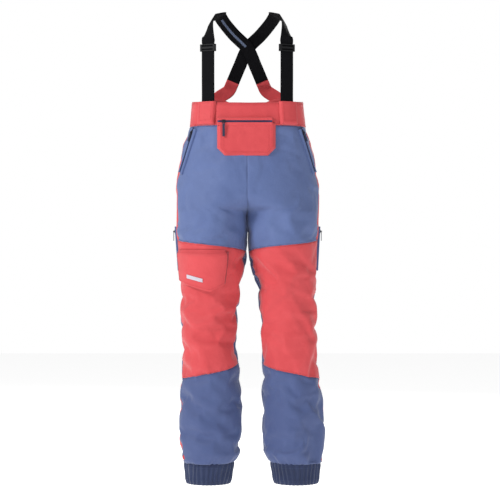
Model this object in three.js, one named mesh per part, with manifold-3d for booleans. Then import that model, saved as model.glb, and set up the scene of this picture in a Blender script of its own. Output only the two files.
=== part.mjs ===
// A pair of high-waisted ski pants with crossed elastic braces, as the pieces that it is sewn from.
// Millimetres, +Z up, +X towards the wearer's left, -Y to the front.
// Heights are measured up from the hem. The finished group is lowered by SHOULDER_HEIGHT, so its
// origin lies midway between the two places where the braces rest on the shoulders.
import * as THREE from "three";
import { mergeVertices } from "three/addons/utils/BufferGeometryUtils.js";
import Module from "manifold-3d";

const wasm = await Module();
wasm.setup();

// ---------------------------------------------------------------- driving dimensions

const INSEAM = 786; // hem to crotch
const CUFF_HEIGHT = 60; // the gathered elastic cuff
const KNEE_HEIGHT = 405; // the knee's pivot above the hem
const FRONT_RISE = 307; // crotch to the top edge of the bib
const BIB_BAND_HEIGHT = 64; // the coral band at the top
const CLOTH = 2; // shell cloth with its lining
const SEAM = 0.5; // gap between two pieces that are sewn edge to edge
const CLEAR = 0.5; // gap between pieces that lie on each other

// Cross-sections of one leg. Each has its height, the leg's width and depth there, the gap between
// the two legs, and how far the section is set forward.
const LEG = [
  { height: 0, width: 126, depth: 116, gap: 128, forward: 0 },
  { height: CUFF_HEIGHT, width: 142, depth: 132, gap: 108, forward: 0 },
  { height: CUFF_HEIGHT + 40, width: 165, depth: 160, gap: 78, forward: -3 },
  { height: CUFF_HEIGHT + 105, width: 179, depth: 172, gap: 62, forward: -4 },
  { height: KNEE_HEIGHT - 85, width: 164, depth: 166, gap: 68, forward: 0 },
  { height: KNEE_HEIGHT, width: 154, depth: 164, gap: 78, forward: 6 },
  { height: INSEAM - 241, width: 165, depth: 188, gap: 58, forward: 3 },
  { height: INSEAM - 121, width: 197, depth: 220, gap: 9, forward: 0 },
  { height: INSEAM, width: 206, depth: 256, gap: 2, forward: -5 },
];

// Cross-sections of the trunk, above the crotch: half its width, its depth, its set forward and
// how square it is, from 2 for an ellipse.
const TRUNK = [
  { above: 0, half: 207, depth: 256, forward: -5, square: 2 },
  { above: 64, half: 206, depth: 276, forward: -12, square: 2.1 },
  { above: 114, half: 200, depth: 276, forward: -13, square: 2.2 },
  { above: 184, half: 186, depth: 258, forward: -8, square: 2.4 },
  { above: FRONT_RISE - BIB_BAND_HEIGHT, half: 168, depth: 238, forward: 0, square: 2.7 },
  { above: FRONT_RISE, half: 162, depth: 226, forward: 0, square: 2.8 },
];
const CROTCH_FADE = 140; // height above the crotch where the two lobes have become one trunk
const SWAY = [14, 13, 9, 4, 0]; // how far the legs lean to the wearer's left, at the heights below
const SWAY_HEIGHTS = [0, 165, 320, 455, 700];

// Colour seams: their height at the inseam or centre front, and at the side seam.
const THIGH_SEAM = { inner: INSEAM - 114, outer: INSEAM - 80 };
const SHIN_SEAM = { inner: KNEE_HEIGHT - 55, outer: KNEE_HEIGHT - 102 };
const THIGH_BOTTOM = KNEE_HEIGHT + 135; // where the cloth starts to bend with the knee
const CALF_TOP = KNEE_HEIGHT - 105; // where it stops
const SIDE_PANEL = 0.045; // half the side stripe, as a share of half the way round

const WEBBING = { width: 38, thick: 2.2 };
const BRACE_X = 110; // the front braces' distance from the middle
const BRACE_FOOT = 32; // how far the brace runs down behind its housing
const BRACE_LIFT = 1.2; // how far it stands off the band
const ADJUSTER_HEIGHT = 166; // above the bib
const APEX_HEIGHT = 259; // the shoulder rests, above the bib
const SHOULDER_X = 78; // their distance from the middle
const REST_LENGTH = 24; // flat length of a brace on the shoulder
const SHOULDER_TILT = 33.4; // how far the rests slope outwards, in degrees

const ZIP = { tape: 16, thick: 0.8, coil: 4.6, coilHeight: 1.7, fit: 0.4 };
const SLIDER = { length: 10, wall: 1.4, roof: 1.2, lug: 2.4, lugHeight: 4.2, lugLength: 4.4 };
const PULL = { width: 7, thick: 1.6, pin: 0.65, arm: 1.5, reach: 7, fit: 0.5 };

const CUFF_ELASTIC = { edge: 10, thick: 1.4 }; // in the cuff's tunnel, clear of both its edges

const BIB_TOP = INSEAM + FRONT_RISE;
const BAND_BOTTOM = BIB_TOP - BIB_BAND_HEIGHT;
const SHOULDER_HEIGHT = BIB_TOP + APEX_HEIGHT;

const CORAL = { color: 0xe05a5c, roughness: 0.75, metalness: 0 };
const BLUE = { color: 0x6075a4, roughness: 0.75, metalness: 0 };
const NAVY = { color: 0x2b3a66, roughness: 0.7, metalness: 0 };
const BLACK = { color: 0x15161c, roughness: 0.8, metalness: 0 };
const ELASTIC = { color: 0xdad7d0, roughness: 0.9, metalness: 0 };
const ZINC = { color: 0x3a3436, roughness: 0.4, metalness: 0.8 };

// ---------------------------------------------------------------- curves and solids

// A smooth curve through values at rising heights that never overshoots them.
function through(heights, values) {
  const slope = heights.slice(1).map((h, i) => (values[i + 1] - values[i]) / (h - heights[i]));
  const tangent = values.map((_, i) => {
    if (i === 0) return slope[0];
    if (i === values.length - 1) return slope[i - 1];
    const product = slope[i - 1] * slope[i];
    return product > 0 ? (2 * product) / (slope[i - 1] + slope[i]) : 0;
  });
  return (height) => {
    const h = THREE.MathUtils.clamp(height, heights[0], heights[heights.length - 1]);
    let i = 0;
    while (i < slope.length - 1 && h > heights[i + 1]) i++;
    const step = heights[i + 1] - heights[i];
    const t = (h - heights[i]) / step;
    const rise = t * t * (3 - 2 * t);
    const start = t * (1 - t) * (1 - t) * step * tangent[i];
    const end = t * t * (1 - t) * step * tangent[i + 1];
    return values[i] + (values[i + 1] - values[i]) * rise + start - end;
  };
}

const trunkHeights = TRUNK.map((s) => INSEAM + s.above);
const heights = [...LEG.slice(0, -1).map((s) => s.height), ...trunkHeights];
const both = (leg, trunk) => [...LEG.slice(0, -1).map(leg), ...TRUNK.map(trunk)];
const outerAt = through(heights, both((s) => s.gap / 2 + s.width, (s) => s.half));
const gapAt = through(LEG.map((s) => s.height), LEG.map((s) => s.gap / 2));
const depthAt = through(heights, both((s) => s.depth / 2, (s) => s.depth / 2));
const forwardAt = through(heights, both((s) => s.forward, (s) => s.forward));
const squareAt = through(heights, both(() => 2, (s) => s.square));
const swayAt = through(SWAY_HEIGHTS, SWAY);

// The oval that half the garment follows at a height. Above the crotch its middle moves in to the
// centre, and the part beyond the centre plane is left off, up to the angle `open`.
function oval(height) {
  const outer = outerAt(height);
  const square = squareAt(height);
  const legMiddle = (outer + gapAt(Math.min(height, INSEAM))) / 2;
  const fade = THREE.MathUtils.clamp((height - INSEAM) / CROTCH_FADE, 0, 1);
  const middle = legMiddle * (1 - fade) ** 2;
  const half = outer - middle;
  const open = height > INSEAM ? Math.acos(-((middle / half) ** (square / 2))) : Math.PI;
  return { middle, half, deep: depthAt(height), forward: forwardAt(height), square, open };
}

const ARC_STEPS = 40;
const arcs = new Map();
// Points along the front or the back of that oval, from the inside to the side seam or on from it,
// with their distance along it.
function arc(height, front) {
  const key = `${height.toFixed(3)} ${front}`;
  if (arcs.has(key)) return arcs.get(key);
  const o = oval(height);
  const power = (c) => Math.sign(c) * Math.abs(c) ** (2 / o.square);
  const points = Array.from({ length: ARC_STEPS + 1 }, (_, k) => {
    const share = k / ARC_STEPS;
    const angle = front ? -o.open * (1 - share) : o.open * share;
    const x = o.middle + o.half * power(Math.cos(angle));
    return [x, -o.forward + o.deep * power(Math.sin(angle))];
  });
  let along = 0;
  const lengths = points.map((p, k) => {
    if (k > 0) along += Math.hypot(p[0] - points[k - 1][0], p[1] - points[k - 1][1]);
    return along;
  });
  const made = { points, lengths, total: along };
  arcs.set(key, made);
  return made;
}

// A point on the outside of the cloth. side is 1 for the wearer's left and -1 for the right; round
// goes from 0 at the centre front or inseam, by 0.5 at the side seam, to 1 at the centre back.
function onCloth(side, round, height) {
  const front = round <= 0.5;
  const { points, lengths, total } = arc(height, front);
  const target = total * THREE.MathUtils.clamp(front ? round * 2 : round * 2 - 1, 0, 1);
  let k = 0;
  while (k < ARC_STEPS - 1 && lengths[k + 1] < target) k++;
  const share = (target - lengths[k]) / (lengths[k + 1] - lengths[k]);
  const x = THREE.MathUtils.lerp(points[k][0], points[k + 1][0], share);
  const y = THREE.MathUtils.lerp(points[k][1], points[k + 1][1], share);
  return new THREE.Vector3(side * x + swayAt(height), y, height);
}

// The direction away from the cloth there.
function outwards(side, round, height) {
  const u = THREE.MathUtils.clamp(round, 0.01, 0.99);
  const across = onCloth(side, u + 0.01, height).sub(onCloth(side, u - 0.01, height));
  const up = onCloth(side, u, height + 1).sub(onCloth(side, u, height - 1));
  const normal = across.cross(up).normalize();
  return side > 0 ? normal : normal.negate();
}

// A point at a distance above the cloth, or under it.
function offCloth(side, round, height, distance) {
  const point = onCloth(side, round, height);
  return point.addScaledVector(outwards(side, round, height), distance);
}

// The same with one number for the whole way round the trunk: 0 in front, -1 and 1 at the back.
function offTrunk(way, height, distance) {
  const point = offCloth(way < 0 ? -1 : 1, Math.abs(way), height, distance);
  if (way === 0 || Math.abs(way) === 1) point.x = swayAt(height);
  return point;
}

// How far round the front of the trunk a point at this distance from the middle is.
function roundAt(x, height) {
  let low = 0;
  let high = 0.5;
  for (let k = 0; k < 30; k++) {
    const mid = (low + high) / 2;
    if (onCloth(1, mid, height).x - swayAt(height) < x) low = mid;
    else high = mid;
  }
  return (low + high) / 2;
}

function geometryOf(points, faces) {
  const made = new THREE.BufferGeometry().setFromPoints(points);
  let volume = 0;
  for (const [a, b, c] of faces) volume += points[a].dot(points[b].clone().cross(points[c]));
  made.setIndex((volume < 0 ? faces.map(([a, b, c]) => [a, c, b]) : faces).flat());
  made.computeVertexNormals();
  return made;
}

// A closed solid between two grids of points: at(i, j, 0) on the inside and at(i, j, 1) on the
// outside. A ring closes on itself across i.
function slab(across, up, at, ring = false) {
  const columns = ring ? across : across + 1;
  const points = [];
  for (const k of [0, 1]) {
    for (let i = 0; i < columns; i++) {
      for (let j = 0; j <= up; j++) points.push(at(i / across, j / up, k));
    }
  }
  const index = (i, j, k) => (k * columns + (i % columns)) * (up + 1) + j;
  const faces = [];
  const quad = (a, b, c, d) => faces.push([a, b, c], [a, c, d]);
  for (let i = 0; i < across; i++) {
    for (let j = 0; j < up; j++) {
      quad(index(i, j, 1), index(i + 1, j, 1), index(i + 1, j + 1, 1), index(i, j + 1, 1));
      quad(index(i, j, 0), index(i, j + 1, 0), index(i + 1, j + 1, 0), index(i + 1, j, 0));
    }
    quad(index(i, 0, 0), index(i + 1, 0, 0), index(i + 1, 0, 1), index(i, 0, 1));
    quad(index(i, up, 1), index(i + 1, up, 1), index(i + 1, up, 0), index(i, up, 0));
  }
  for (let j = 0; j < up && !ring; j++) {
    quad(index(0, j, 0), index(0, j, 1), index(0, j + 1, 1), index(0, j + 1, 0));
    quad(index(across, j, 1), index(across, j, 0), index(across, j + 1, 0), index(across, j + 1, 1));
  }
  return geometryOf(points, faces);
}

const lerp = THREE.MathUtils.lerp;

// A piece of cloth on one half of the garment. from and to are how far round it runs, bottom and
// top its heights as functions of that, and under and over its inner and outer faces' distances.
function panel({ side, from, to, bottom, top, across, up, under = -CLOTH, over = 0, ring = false }) {
  return slab(across, up, (a, b, k) => {
    const round = lerp(from, to, a);
    const height = lerp(bottom(round), top(round), b);
    const point = offCloth(side, round, height, k ? over : under);
    const reach = side * (point.x - swayAt(height));
    if (reach < SEAM / 2) point.x = swayAt(height) + (side * SEAM) / 2;
    return point;
  }, ring);
}

function solidOf(geometry) {
  const bare = geometry.index ? geometry.clone() : geometry;
  bare.deleteAttribute("normal");
  bare.deleteAttribute("uv");
  const merged = mergeVertices(bare, 1e-4);
  const vertProperties = new Float32Array(merged.attributes.position.array);
  return new wasm.Manifold(
    new wasm.Mesh({ numProp: 3, vertProperties, triVerts: new Uint32Array(merged.index.array) }),
  );
}

function fromSolid(solid) {
  const mesh = solid.getMesh();
  const made = new THREE.BufferGeometry();
  made.setAttribute("position", new THREE.BufferAttribute(new Float32Array(mesh.vertProperties), 3));
  made.setIndex(Array.from(mesh.triVerts));
  made.computeVertexNormals();
  return made;
}

function block(x, y, z, at = [0, 0, 0]) {
  return solidOf(new THREE.BoxGeometry(x, y, z).translate(...at));
}

const pants = new THREE.Group();
const garment = new THREE.Group();
garment.position.z = -SHOULDER_HEIGHT;
pants.add(garment);

function add(name, geometry, look, parent = garment) {
  const mesh = new THREE.Mesh(geometry, new THREE.MeshStandardMaterial(look));
  mesh.name = name;
  parent.add(mesh);
  return mesh;
}

const SIDES = [
  ["right", -1],
  ["left", 1],
];
const level = (height) => () => height;
// A seam that slopes from the inseam or centre out to the side seam, round the front and the back.
const sloped = (seam, gap) => (round) => {
  const share = 1 - Math.abs(round - 0.5) * 2;
  return lerp(seam.inner, seam.outer, share) + gap / 2;
};

// ---------------------------------------------------------------- legs

// Round each leg the cloth is one ring down to the thigh seam; below it a front and a back panel.
const ROUND_GAP = 0.0012; // half a seam, as a share of the way round
function legHalf(side, front, bottom, top, up) {
  const [from, to] = front ? [ROUND_GAP, 0.5 - ROUND_GAP] : [0.5 + ROUND_GAP, 1 - ROUND_GAP];
  return panel({ side, from, to, bottom, top, across: 9, up });
}

for (const [word, side] of SIDES) {
  const crotch = level(INSEAM - SEAM / 2);
  const thighTop = sloped(THIGH_SEAM, -SEAM);
  const thighBottom = level(THIGH_BOTTOM + SEAM / 2);
  const kneeTop = level(THIGH_BOTTOM - SEAM / 2);
  const shinTop = sloped(SHIN_SEAM, -SEAM);
  const cuffTop = level(CUFF_HEIGHT + SEAM / 2);
  const ring = { side, from: 0, to: 1, ring: true };
  const upper = { ...ring, bottom: sloped(THIGH_SEAM, SEAM), top: crotch, across: 20, up: 3 };
  add(`upper_thigh_${word}`, panel(upper), BLUE);
  add(`thigh_front_${word}`, legHalf(side, true, thighBottom, thighTop, 4), CORAL);
  add(`thigh_back_${word}`, legHalf(side, false, thighBottom, thighTop, 4), BLUE);
  add(`knee_front_${word}`, legHalf(side, true, sloped(SHIN_SEAM, SEAM), kneeTop, 5), CORAL);
  add(`knee_back_${word}`, legHalf(side, false, level(CALF_TOP + SEAM / 2), kneeTop, 5), BLUE);
  add(`shin_front_${word}`, legHalf(side, true, cuffTop, shinTop, 6), BLUE);
  add(`calf_back_${word}`, legHalf(side, false, cuffTop, level(CALF_TOP - SEAM / 2), 6), BLUE);
  const cuff = { ...ring, bottom: level(0), top: level(CUFF_HEIGHT - SEAM / 2), across: 20, up: 2 };
  add(`cuff_${word}`, panel(cuff), BLUE);
  // The elastic lies inside the cuff's tunnel, and draws it in.
  const { edge, thick } = CUFF_ELASTIC;
  const elastic = { bottom: level(edge), top: level(CUFF_HEIGHT - edge), up: 1 };
  const inside = { under: -CLOTH - CLEAR - thick, over: -CLOTH - CLEAR };
  add(`cuff_elastic_${word}`, panel({ ...cuff, ...elastic, ...inside }), ELASTIC);
}

// ---------------------------------------------------------------- trunk

for (const [word, side] of SIDES) {
  const bottom = level(INSEAM + SEAM);
  const top = level(BAND_BOTTOM - SEAM / 2);
  const front = { side, from: 0, to: 0.5 - SIDE_PANEL - ROUND_GAP, bottom, top, across: 9, up: 7 };
  add(`front_panel_${word}`, panel(front), BLUE);
  const back = { ...front, from: 0.5 + SIDE_PANEL + ROUND_GAP, to: 1 };
  add(`seat_panel_${word}`, panel(back), BLUE);
  const stripe = { from: 0.5 - SIDE_PANEL, to: 0.5 + SIDE_PANEL, across: 4 };
  add(`side_panel_${word}`, panel({ ...front, ...stripe }), CORAL);
}

// The coral band: a front and a back piece, each across the middle of the body.
const BACK_PEAK = { height: 30, spread: 0.13 }; // how the back band rises to the braces
const SIDE_RISE = 12;
const BACK_TAB_WAY = 0.8;
function band(from, to, across, up, under, over, bottom, top) {
  return slab(across, up, (a, b, k) => {
    const way = lerp(from, to, a);
    const wrapped = way > 1 ? way - 2 : way;
    return offTrunk(wrapped, lerp(bottom(way), top(way), b), k ? over : under);
  });
}
const half = 0.5 - ROUND_GAP;
const bandBottom = level(BAND_BOTTOM + SEAM / 2);
// The front's top edge rises to the sides. The back's is level with it there, peaks where the
// braces are sewn on, and dips in the middle.
const frontTop = (way) => BIB_TOP + SIDE_RISE * (Math.abs(way) / half) ** 2;
add("bib_front", band(-half, half, 16, 3, -CLOTH, 0, bandBottom, frontTop), CORAL);
const backTop = (way) => {
  const away = Math.abs(Math.abs(way - 1) - (1 - BACK_TAB_WAY)) / BACK_PEAK.spread;
  const side = (Math.abs(way - 1) * 2) ** 2;
  return BIB_TOP + SIDE_RISE * side + BACK_PEAK.height * Math.exp(-away * away);
};
const backFrom = half + 2 * ROUND_GAP;
const backBand = band(backFrom, 1.5 - ROUND_GAP, 20, 3, -CLOTH, 0, bandBottom, backTop);
add("bib_back", backBand, CORAL);
// Soft elastic inside the back band keeps the waist close.
const ELASTIC_IN = { under: -CLOTH - 2.6, over: -CLOTH - 1.2, height: 38, above: 8, ends: 0.4 };
const elasticFoot = level(BAND_BOTTOM + ELASTIC_IN.above);
const elasticTop = level(BAND_BOTTOM + ELASTIC_IN.above + ELASTIC_IN.height);
const { under: elasticUnder, over: elasticOver, ends } = ELASTIC_IN;
const waistElastic = band(1 - ends, 1 + ends, 14, 1, elasticUnder, elasticOver, elasticFoot, elasticTop);
add("waist_elastic", waistElastic, ELASTIC);

// ---------------------------------------------------------------- braces

// A length of webbing along stations, each with its centre, the direction its face looks and its
// thickness there. Every station is a straight line across the webbing.
function webbing(stations, width, thick) {
  const last = stations.length - 1;
  return slab(last, 1, (a, b, k) => {
    const i = Math.round(a * last);
    const before = stations[Math.max(i - 1, 0)].at;
    const after = stations[Math.min(i + 1, last)].at;
    const along = after.clone().sub(before).normalize();
    const face = stations[i].face;
    const wide = along.cross(face).normalize().multiplyScalar((b - 0.5) * width);
    return stations[i].at.clone().add(wide).addScaledVector(face, (k - 0.5) * thick);
  });
}

// Stations on a smooth path through points, with `steps` of them from each point to the next.
function stationsOf(points, steps) {
  const path = new THREE.CatmullRomCurve3(points.map((p) => p.at));
  const faces = new THREE.CatmullRomCurve3(points.map((p) => p.face));
  const last = points.length - 1;
  const made = [];
  for (let i = 0; i <= last; i++) {
    const count = i < last && !points[i].flat ? steps : 1;
    for (let k = 0; k < count; k++) {
      const t = Math.min(1, (i + k / count) / last);
      made.push({ at: path.getPoint(t), face: faces.getPoint(t).normalize() });
    }
  }
  return made;
}

const vector = (x, y, z) => new THREE.Vector3(x, y, z);
const tilt = THREE.MathUtils.degToRad(SHOULDER_TILT);
const footRound = roundAt(BRACE_X, BIB_TOP);
const ADJUSTER = { length: 20, rail: 3.4, bar: 3.6, plate: 2.6, fit: 0.5, windowEdge: 2.5, rearEdge: 2 };
const BRACE_STRAIGHT = 26; // how far each brace runs on above its adjuster before it turns
const CROSSING = { back: 74, share: 0.68 }; // where the braces cross
const OVERLAP_GAP = 2; // between the two braces there
// The way of each brace: how far it is from the middle and how far back, what share of the height
// from the bib to the shoulders it has reached, and where its face looks.
const UP_TO_SHOULDER = [
  { out: 106, back: -72, share: 0.86, face: [0.6, -0.7, 0.3] },
  { out: 93, back: -38, share: 0.965, face: [0.6, -0.35, 0.7] },
];
const DOWN_THE_BACK = [
  { out: 68, back: 36, share: 0.95, face: [0.25, 0.5, 0.8], over: 0 },
  { out: 40, back: 57, share: 0.83, face: [0.08, 0.9, 0.4], over: 0.6 },
  { out: 0, back: CROSSING.back, share: CROSSING.share, face: [0, 0.98, 0.2], over: 1 },
  { out: -24, back: 84, share: 0.48, face: [-0.05, 0.99, 0.14], over: 0.6 },
  { out: -43, back: 93, share: 0.31, face: [-0.1, 0.99, 0.1], over: 0 },
];
const BACK_TAB = { wider: 2, thick: 2, tuck: 5, lift: 3.8, middle: [-56, 108], foot: 22, below: 4 };
const HOUSING = { margin: 3.5, foot: 1, top: 4, wall: 2, slotTop: 20, slotFoot: 2 };
const HALF_ROUND = 460; // the length of cloth from the centre front to the centre back at the bib

for (const [word, side] of SIDES) {
  const facing = outwards(side, footRound, BIB_TOP).setZ(0).normalize();
  // Below the adjuster the webbing is doubled. Its foot follows the slope of the band.
  const doubled = 2 * WEBBING.thick;
  const lift = CLEAR + WEBBING.thick + BRACE_LIFT;
  const seat = offCloth(side, footRound, BIB_TOP, lift);
  const foot = offCloth(side, footRound, BIB_TOP - BRACE_FOOT, lift);
  const joint = seat.clone().setZ(BIB_TOP + ADJUSTER_HEIGHT);
  const lower = [
    { at: foot, face: facing },
    { at: seat, face: facing },
    { at: joint.clone().setZ(joint.z - SEAM), face: facing },
  ];
  add(`brace_front_${word}`, webbing(lower, WEBBING.width, doubled), BLACK);

  // Over the shoulder, where it lies flat, and down across the back to the other side. The left
  // brace crosses over the right.
  const rise = (share) => BIB_TOP + APEX_HEIGHT * share;
  const behind = (share) => (side > 0 ? (2 * WEBBING.thick + OVERLAP_GAP) * share : 0);
  const face = (x, y, z) => vector(side * x, y, z).normalize();
  const station = ({ out, back, share, face: looks, over: past = 0 }) => ({
    at: vector(side * out, back + behind(past), rise(share)),
    face: face(...looks),
  });
  const rest = vector(side * Math.sin(tilt), 0, Math.cos(tilt));
  const over = [
    { at: joint.clone().setZ(joint.z + SEAM), face: facing },
    { at: joint.clone().setZ(joint.z + BRACE_STRAIGHT), face: facing },
    ...UP_TO_SHOULDER.map(station),
    { at: vector(side * SHOULDER_X, -REST_LENGTH / 2, SHOULDER_HEIGHT), face: rest, flat: true },
    { at: vector(side * SHOULDER_X, REST_LENGTH / 2, SHOULDER_HEIGHT), face: rest },
    ...DOWN_THE_BACK.map(station),
  ];
  add(`brace_back_${word}`, webbing(stationsOf(over, 2), WEBBING.width, WEBBING.thick), BLACK);

  // A coral tab joins the end of each brace to the back band.
  const tabTop = over[over.length - 1];
  const bandOut = (height) => offCloth(-side, BACK_TAB_WAY, height, CLEAR + BACK_TAB.lift);
  const bandFace = outwards(-side, BACK_TAB_WAY, BIB_TOP);
  const halfWay = (tabTop.at.z + BIB_TOP + BACK_PEAK.height) / 2;
  const [tabX, tabY] = BACK_TAB.middle;
  const tab = [
    { at: tabTop.at.clone().setZ(tabTop.at.z - BACK_TAB.tuck), face: tabTop.face },
    { at: vector(side * tabX, tabY, halfWay), face: face(-0.12, 0.98, 0.05) },
    { at: bandOut(BIB_TOP + BACK_PEAK.height - BACK_TAB.below), face: bandFace },
    { at: bandOut(BIB_TOP - BACK_TAB.foot), face: bandFace },
  ];
  const tabWide = WEBBING.width + BACK_TAB.wider;
  add(`back_tab_${word}`, webbing(stationsOf(tab, 2), tabWide, BACK_TAB.thick), CORAL);

  // The housing is a coral patch on the band, with a slot that the brace's end is sewn into.
  const wide = (WEBBING.width / 2 + HOUSING.margin) / HALF_ROUND;
  const housing = panel({
    side,
    from: footRound - wide,
    to: footRound + wide,
    bottom: level(BAND_BOTTOM + HOUSING.foot),
    top: level(BIB_TOP + HOUSING.top),
    across: 6,
    up: 3,
    under: CLEAR,
    over: lift + doubled / 2 + CLEAR + HOUSING.wall,
  });
  const slot = [
    { at: offCloth(side, footRound, BIB_TOP - BRACE_FOOT - HOUSING.slotFoot, lift), face: facing },
    { at: seat, face: facing },
    { at: seat.clone().setZ(BIB_TOP + HOUSING.slotTop), face: facing },
  ];
  const slotSolid = solidOf(webbing(slot, WEBBING.width + 2 * CLEAR, doubled + 2 * CLEAR));
  add(`brace_housing_${word}`, fromSolid(solidOf(housing).subtract(slotSolid)), CORAL);

  // The adjuster is a flat frame with a middle bar, and a keeper behind the webbing.
  const a = ADJUSTER;
  const clearWide = WEBBING.width + 2 * a.fit;
  const clearDeep = doubled + 2 * a.fit;
  const whole = block(clearWide + 2 * a.rail, clearDeep + 2 * a.plate, a.length);
  const window = block(clearWide - 2 * a.windowEdge, 3 * clearDeep, (a.length - 3 * a.bar) / 2);
  const shift = (a.length - a.bar) / 4 + a.bar / 4;
  const rearWide = clearWide - 2 * a.rearEdge;
  const rearWindow = block(rearWide, clearDeep, a.length - 2 * a.bar, [0, clearDeep, 0]);
  const frame = whole
    .subtract(block(clearWide, clearDeep, 2 * a.length))
    .subtract(window.translate([0, -clearDeep * 1.5, shift]))
    .subtract(window.translate([0, -clearDeep * 1.5, -shift]))
    .subtract(rearWindow);
  const adjuster = new THREE.Group();
  adjuster.position.copy(joint).setZ(joint.z - a.length / 2);
  adjuster.rotation.z = Math.atan2(facing.x, -facing.y);
  garment.add(adjuster);
  add(`adjuster_${word}`, fromSolid(frame), BLACK, adjuster);
}

// A stitched keeper holds the two braces where they cross.
const crossFace = vector(0, 0.98, 0.2).normalize();
const KEEPER = { side: 28, thick: 1.4, lift: 2.6 };
const crossBack = CROSSING.back + 2 * WEBBING.thick + OVERLAP_GAP;
const cross = vector(0, crossBack, BIB_TOP + APEX_HEIGHT * CROSSING.share);
const keeperAt = cross.addScaledVector(crossFace, WEBBING.thick / 2 + CLEAR + KEEPER.lift);
const keeperUp = vector(0, -crossFace.z, crossFace.y).multiplyScalar(KEEPER.side / 2);
const keeper = [
  { at: keeperAt.clone().sub(keeperUp), face: crossFace },
  { at: keeperAt.clone().add(keeperUp), face: crossFace },
];
add("crossing_keeper", webbing(keeper, KEEPER.side, KEEPER.thick), BLACK);

// ---------------------------------------------------------------- zips

// A straight zip with its slider and pull. The pull hangs from a pin in the slider's lug: the pin
// lies along the zip when `alongPin` is set, and across it otherwise.
function zip({ name, top, foot, face, sliderAt, pullLength, alongPin = false, plumb = true }) {
  const length = top.distanceTo(foot);
  const along = foot.clone().sub(top).normalize();
  const across = face.clone().cross(along).normalize();
  const out = along.clone().cross(across);
  const place = new THREE.Group();
  place.matrixAutoUpdate = false;
  place.matrix.makeBasis(along, across, out).setPosition(top);
  garment.add(place);

  const tape = block(length, ZIP.tape, ZIP.thick, [length / 2, 0, ZIP.thick / 2]);
  const coilZ = ZIP.thick + ZIP.coilHeight / 2;
  const coil = block(length - 8, ZIP.coil, ZIP.coilHeight + 0.02, [length / 2, 0, coilZ - 0.01]);
  add(`${name}_zip`, fromSolid(tape.add(coil)), NAVY, place);

  const s = SLIDER;
  const base = ZIP.thick + ZIP.fit;
  const roofTop = ZIP.thick + ZIP.coilHeight + ZIP.fit + s.roof;
  const wide = ZIP.coil + 2 * ZIP.fit + 2 * s.wall;
  const channelTop = roofTop - s.roof;
  const pinZ = roofTop + s.lugHeight - 1.9;
  const body = block(s.length, wide, roofTop - base, [sliderAt, 0, (roofTop + base) / 2]);
  const channel = block(2 * s.length, ZIP.coil + 2 * ZIP.fit, channelTop, [sliderAt, 0, channelTop / 2]);
  const [lugX, lugY] = alongPin ? [s.lug, s.lugLength] : [s.lugLength, s.lug];
  const lugZ = roofTop + s.lugHeight / 2;
  const lug = block(lugX, lugY, s.lugHeight + 0.02, [sliderAt, 0, lugZ - 0.01]);
  const pinTurn = (g) => (alongPin ? g.rotateZ(Math.PI / 2) : g);
  const rod = (radius, long) => pinTurn(new THREE.CylinderGeometry(radius, radius, long, 10));
  const hole = solidOf(rod(PULL.pin + PULL.fit, 3 * s.lug).translate(sliderAt, 0, pinZ));
  add(`${name}_slider`, fromSolid(body.subtract(channel).add(lug).subtract(hole)), ZINC, place);

  // The pull hangs plumb, as far as its pin lets it, or rests on the cloth along the zip.
  const pinWay = alongPin ? along : across;
  const down = plumb ? vector(0, 0, -1).addScaledVector(pinWay, pinWay.z).normalize() : along;
  const pull = new THREE.Group();
  pull.matrixAutoUpdate = false;
  const pinAt = top.clone().addScaledVector(along, sliderAt).addScaledVector(out, pinZ);
  pull.matrix.makeBasis(pinWay, down, pinWay.clone().cross(down)).setPosition(pinAt);
  garment.add(pull);
  const p = PULL;
  const span = s.lug + 2 * p.fit;
  const pin = solidOf(new THREE.CylinderGeometry(p.pin, p.pin, span + p.arm, 10).rotateZ(Math.PI / 2));
  const arm = (way) =>
    block(p.arm, p.reach + 1, p.thick, [(way * (span + p.arm)) / 2, p.reach / 2, 0]);
  const grip = block(p.width, pullLength, p.thick, [0, p.reach + pullLength / 2, 0]);
  add(`${name}_pull`, fromSolid(pin.add(arm(1)).add(arm(-1)).add(grip)), NAVY, pull);
  return { top, along, out, length };
}

// ---------------------------------------------------------------- chest pocket

// A patch pocket sewn to the front of the trunk, whose cloth is its back. Its face is flat, so that
// its zip runs straight, and leans with the belly. It is open along its top, where the zip's tape
// bridges to the band.
const CHEST = {
  right: -86,
  left: 80,
  top: INSEAM + 248,
  foot: INSEAM + 156,
  corner: 22,
  skin: 1.6,
  lift: 3.5,
  gap: 1.5,
};
const CHEST_ZIP = { above: 5, right: 2, left: 10, sunk: 1, overlap: 3, slider: 17, pull: 36 };
const chestBack = -60; // inside the trunk, behind all of its front
const chestEdge = CHEST.top + CHEST_ZIP.above;
const frontAt = (height) => onCloth(1, 0, height).y - CHEST.lift;
const chestFront = frontAt(chestEdge);
const chestLean = (chestFront - frontAt(CHEST.foot)) / (chestEdge - CHEST.foot);

// The pocket's outline, drawn in by inset and pulled back into the trunk from the given front.
function chestBlock(inset, top, front) {
  const { right, left, foot, corner } = CHEST;
  const shape = new THREE.Shape();
  shape.moveTo(right + inset, top);
  shape.lineTo(right + inset, foot + corner);
  shape.lineTo(right + corner, foot + inset);
  shape.lineTo(left - corner, foot + inset);
  shape.lineTo(left - inset, foot + corner);
  shape.lineTo(left - inset, top);
  const depth = chestBack - front;
  const made = new THREE.ExtrudeGeometry(shape, { depth, bevelEnabled: false });
  const lean = new THREE.Matrix4().makeShear(0, 0, 0, 0, 0, chestLean);
  made.rotateX(Math.PI / 2).translate(0, chestBack, -chestEdge).applyMatrix4(lean);
  return solidOf(made.translate(0, 0, chestEdge));
}

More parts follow.
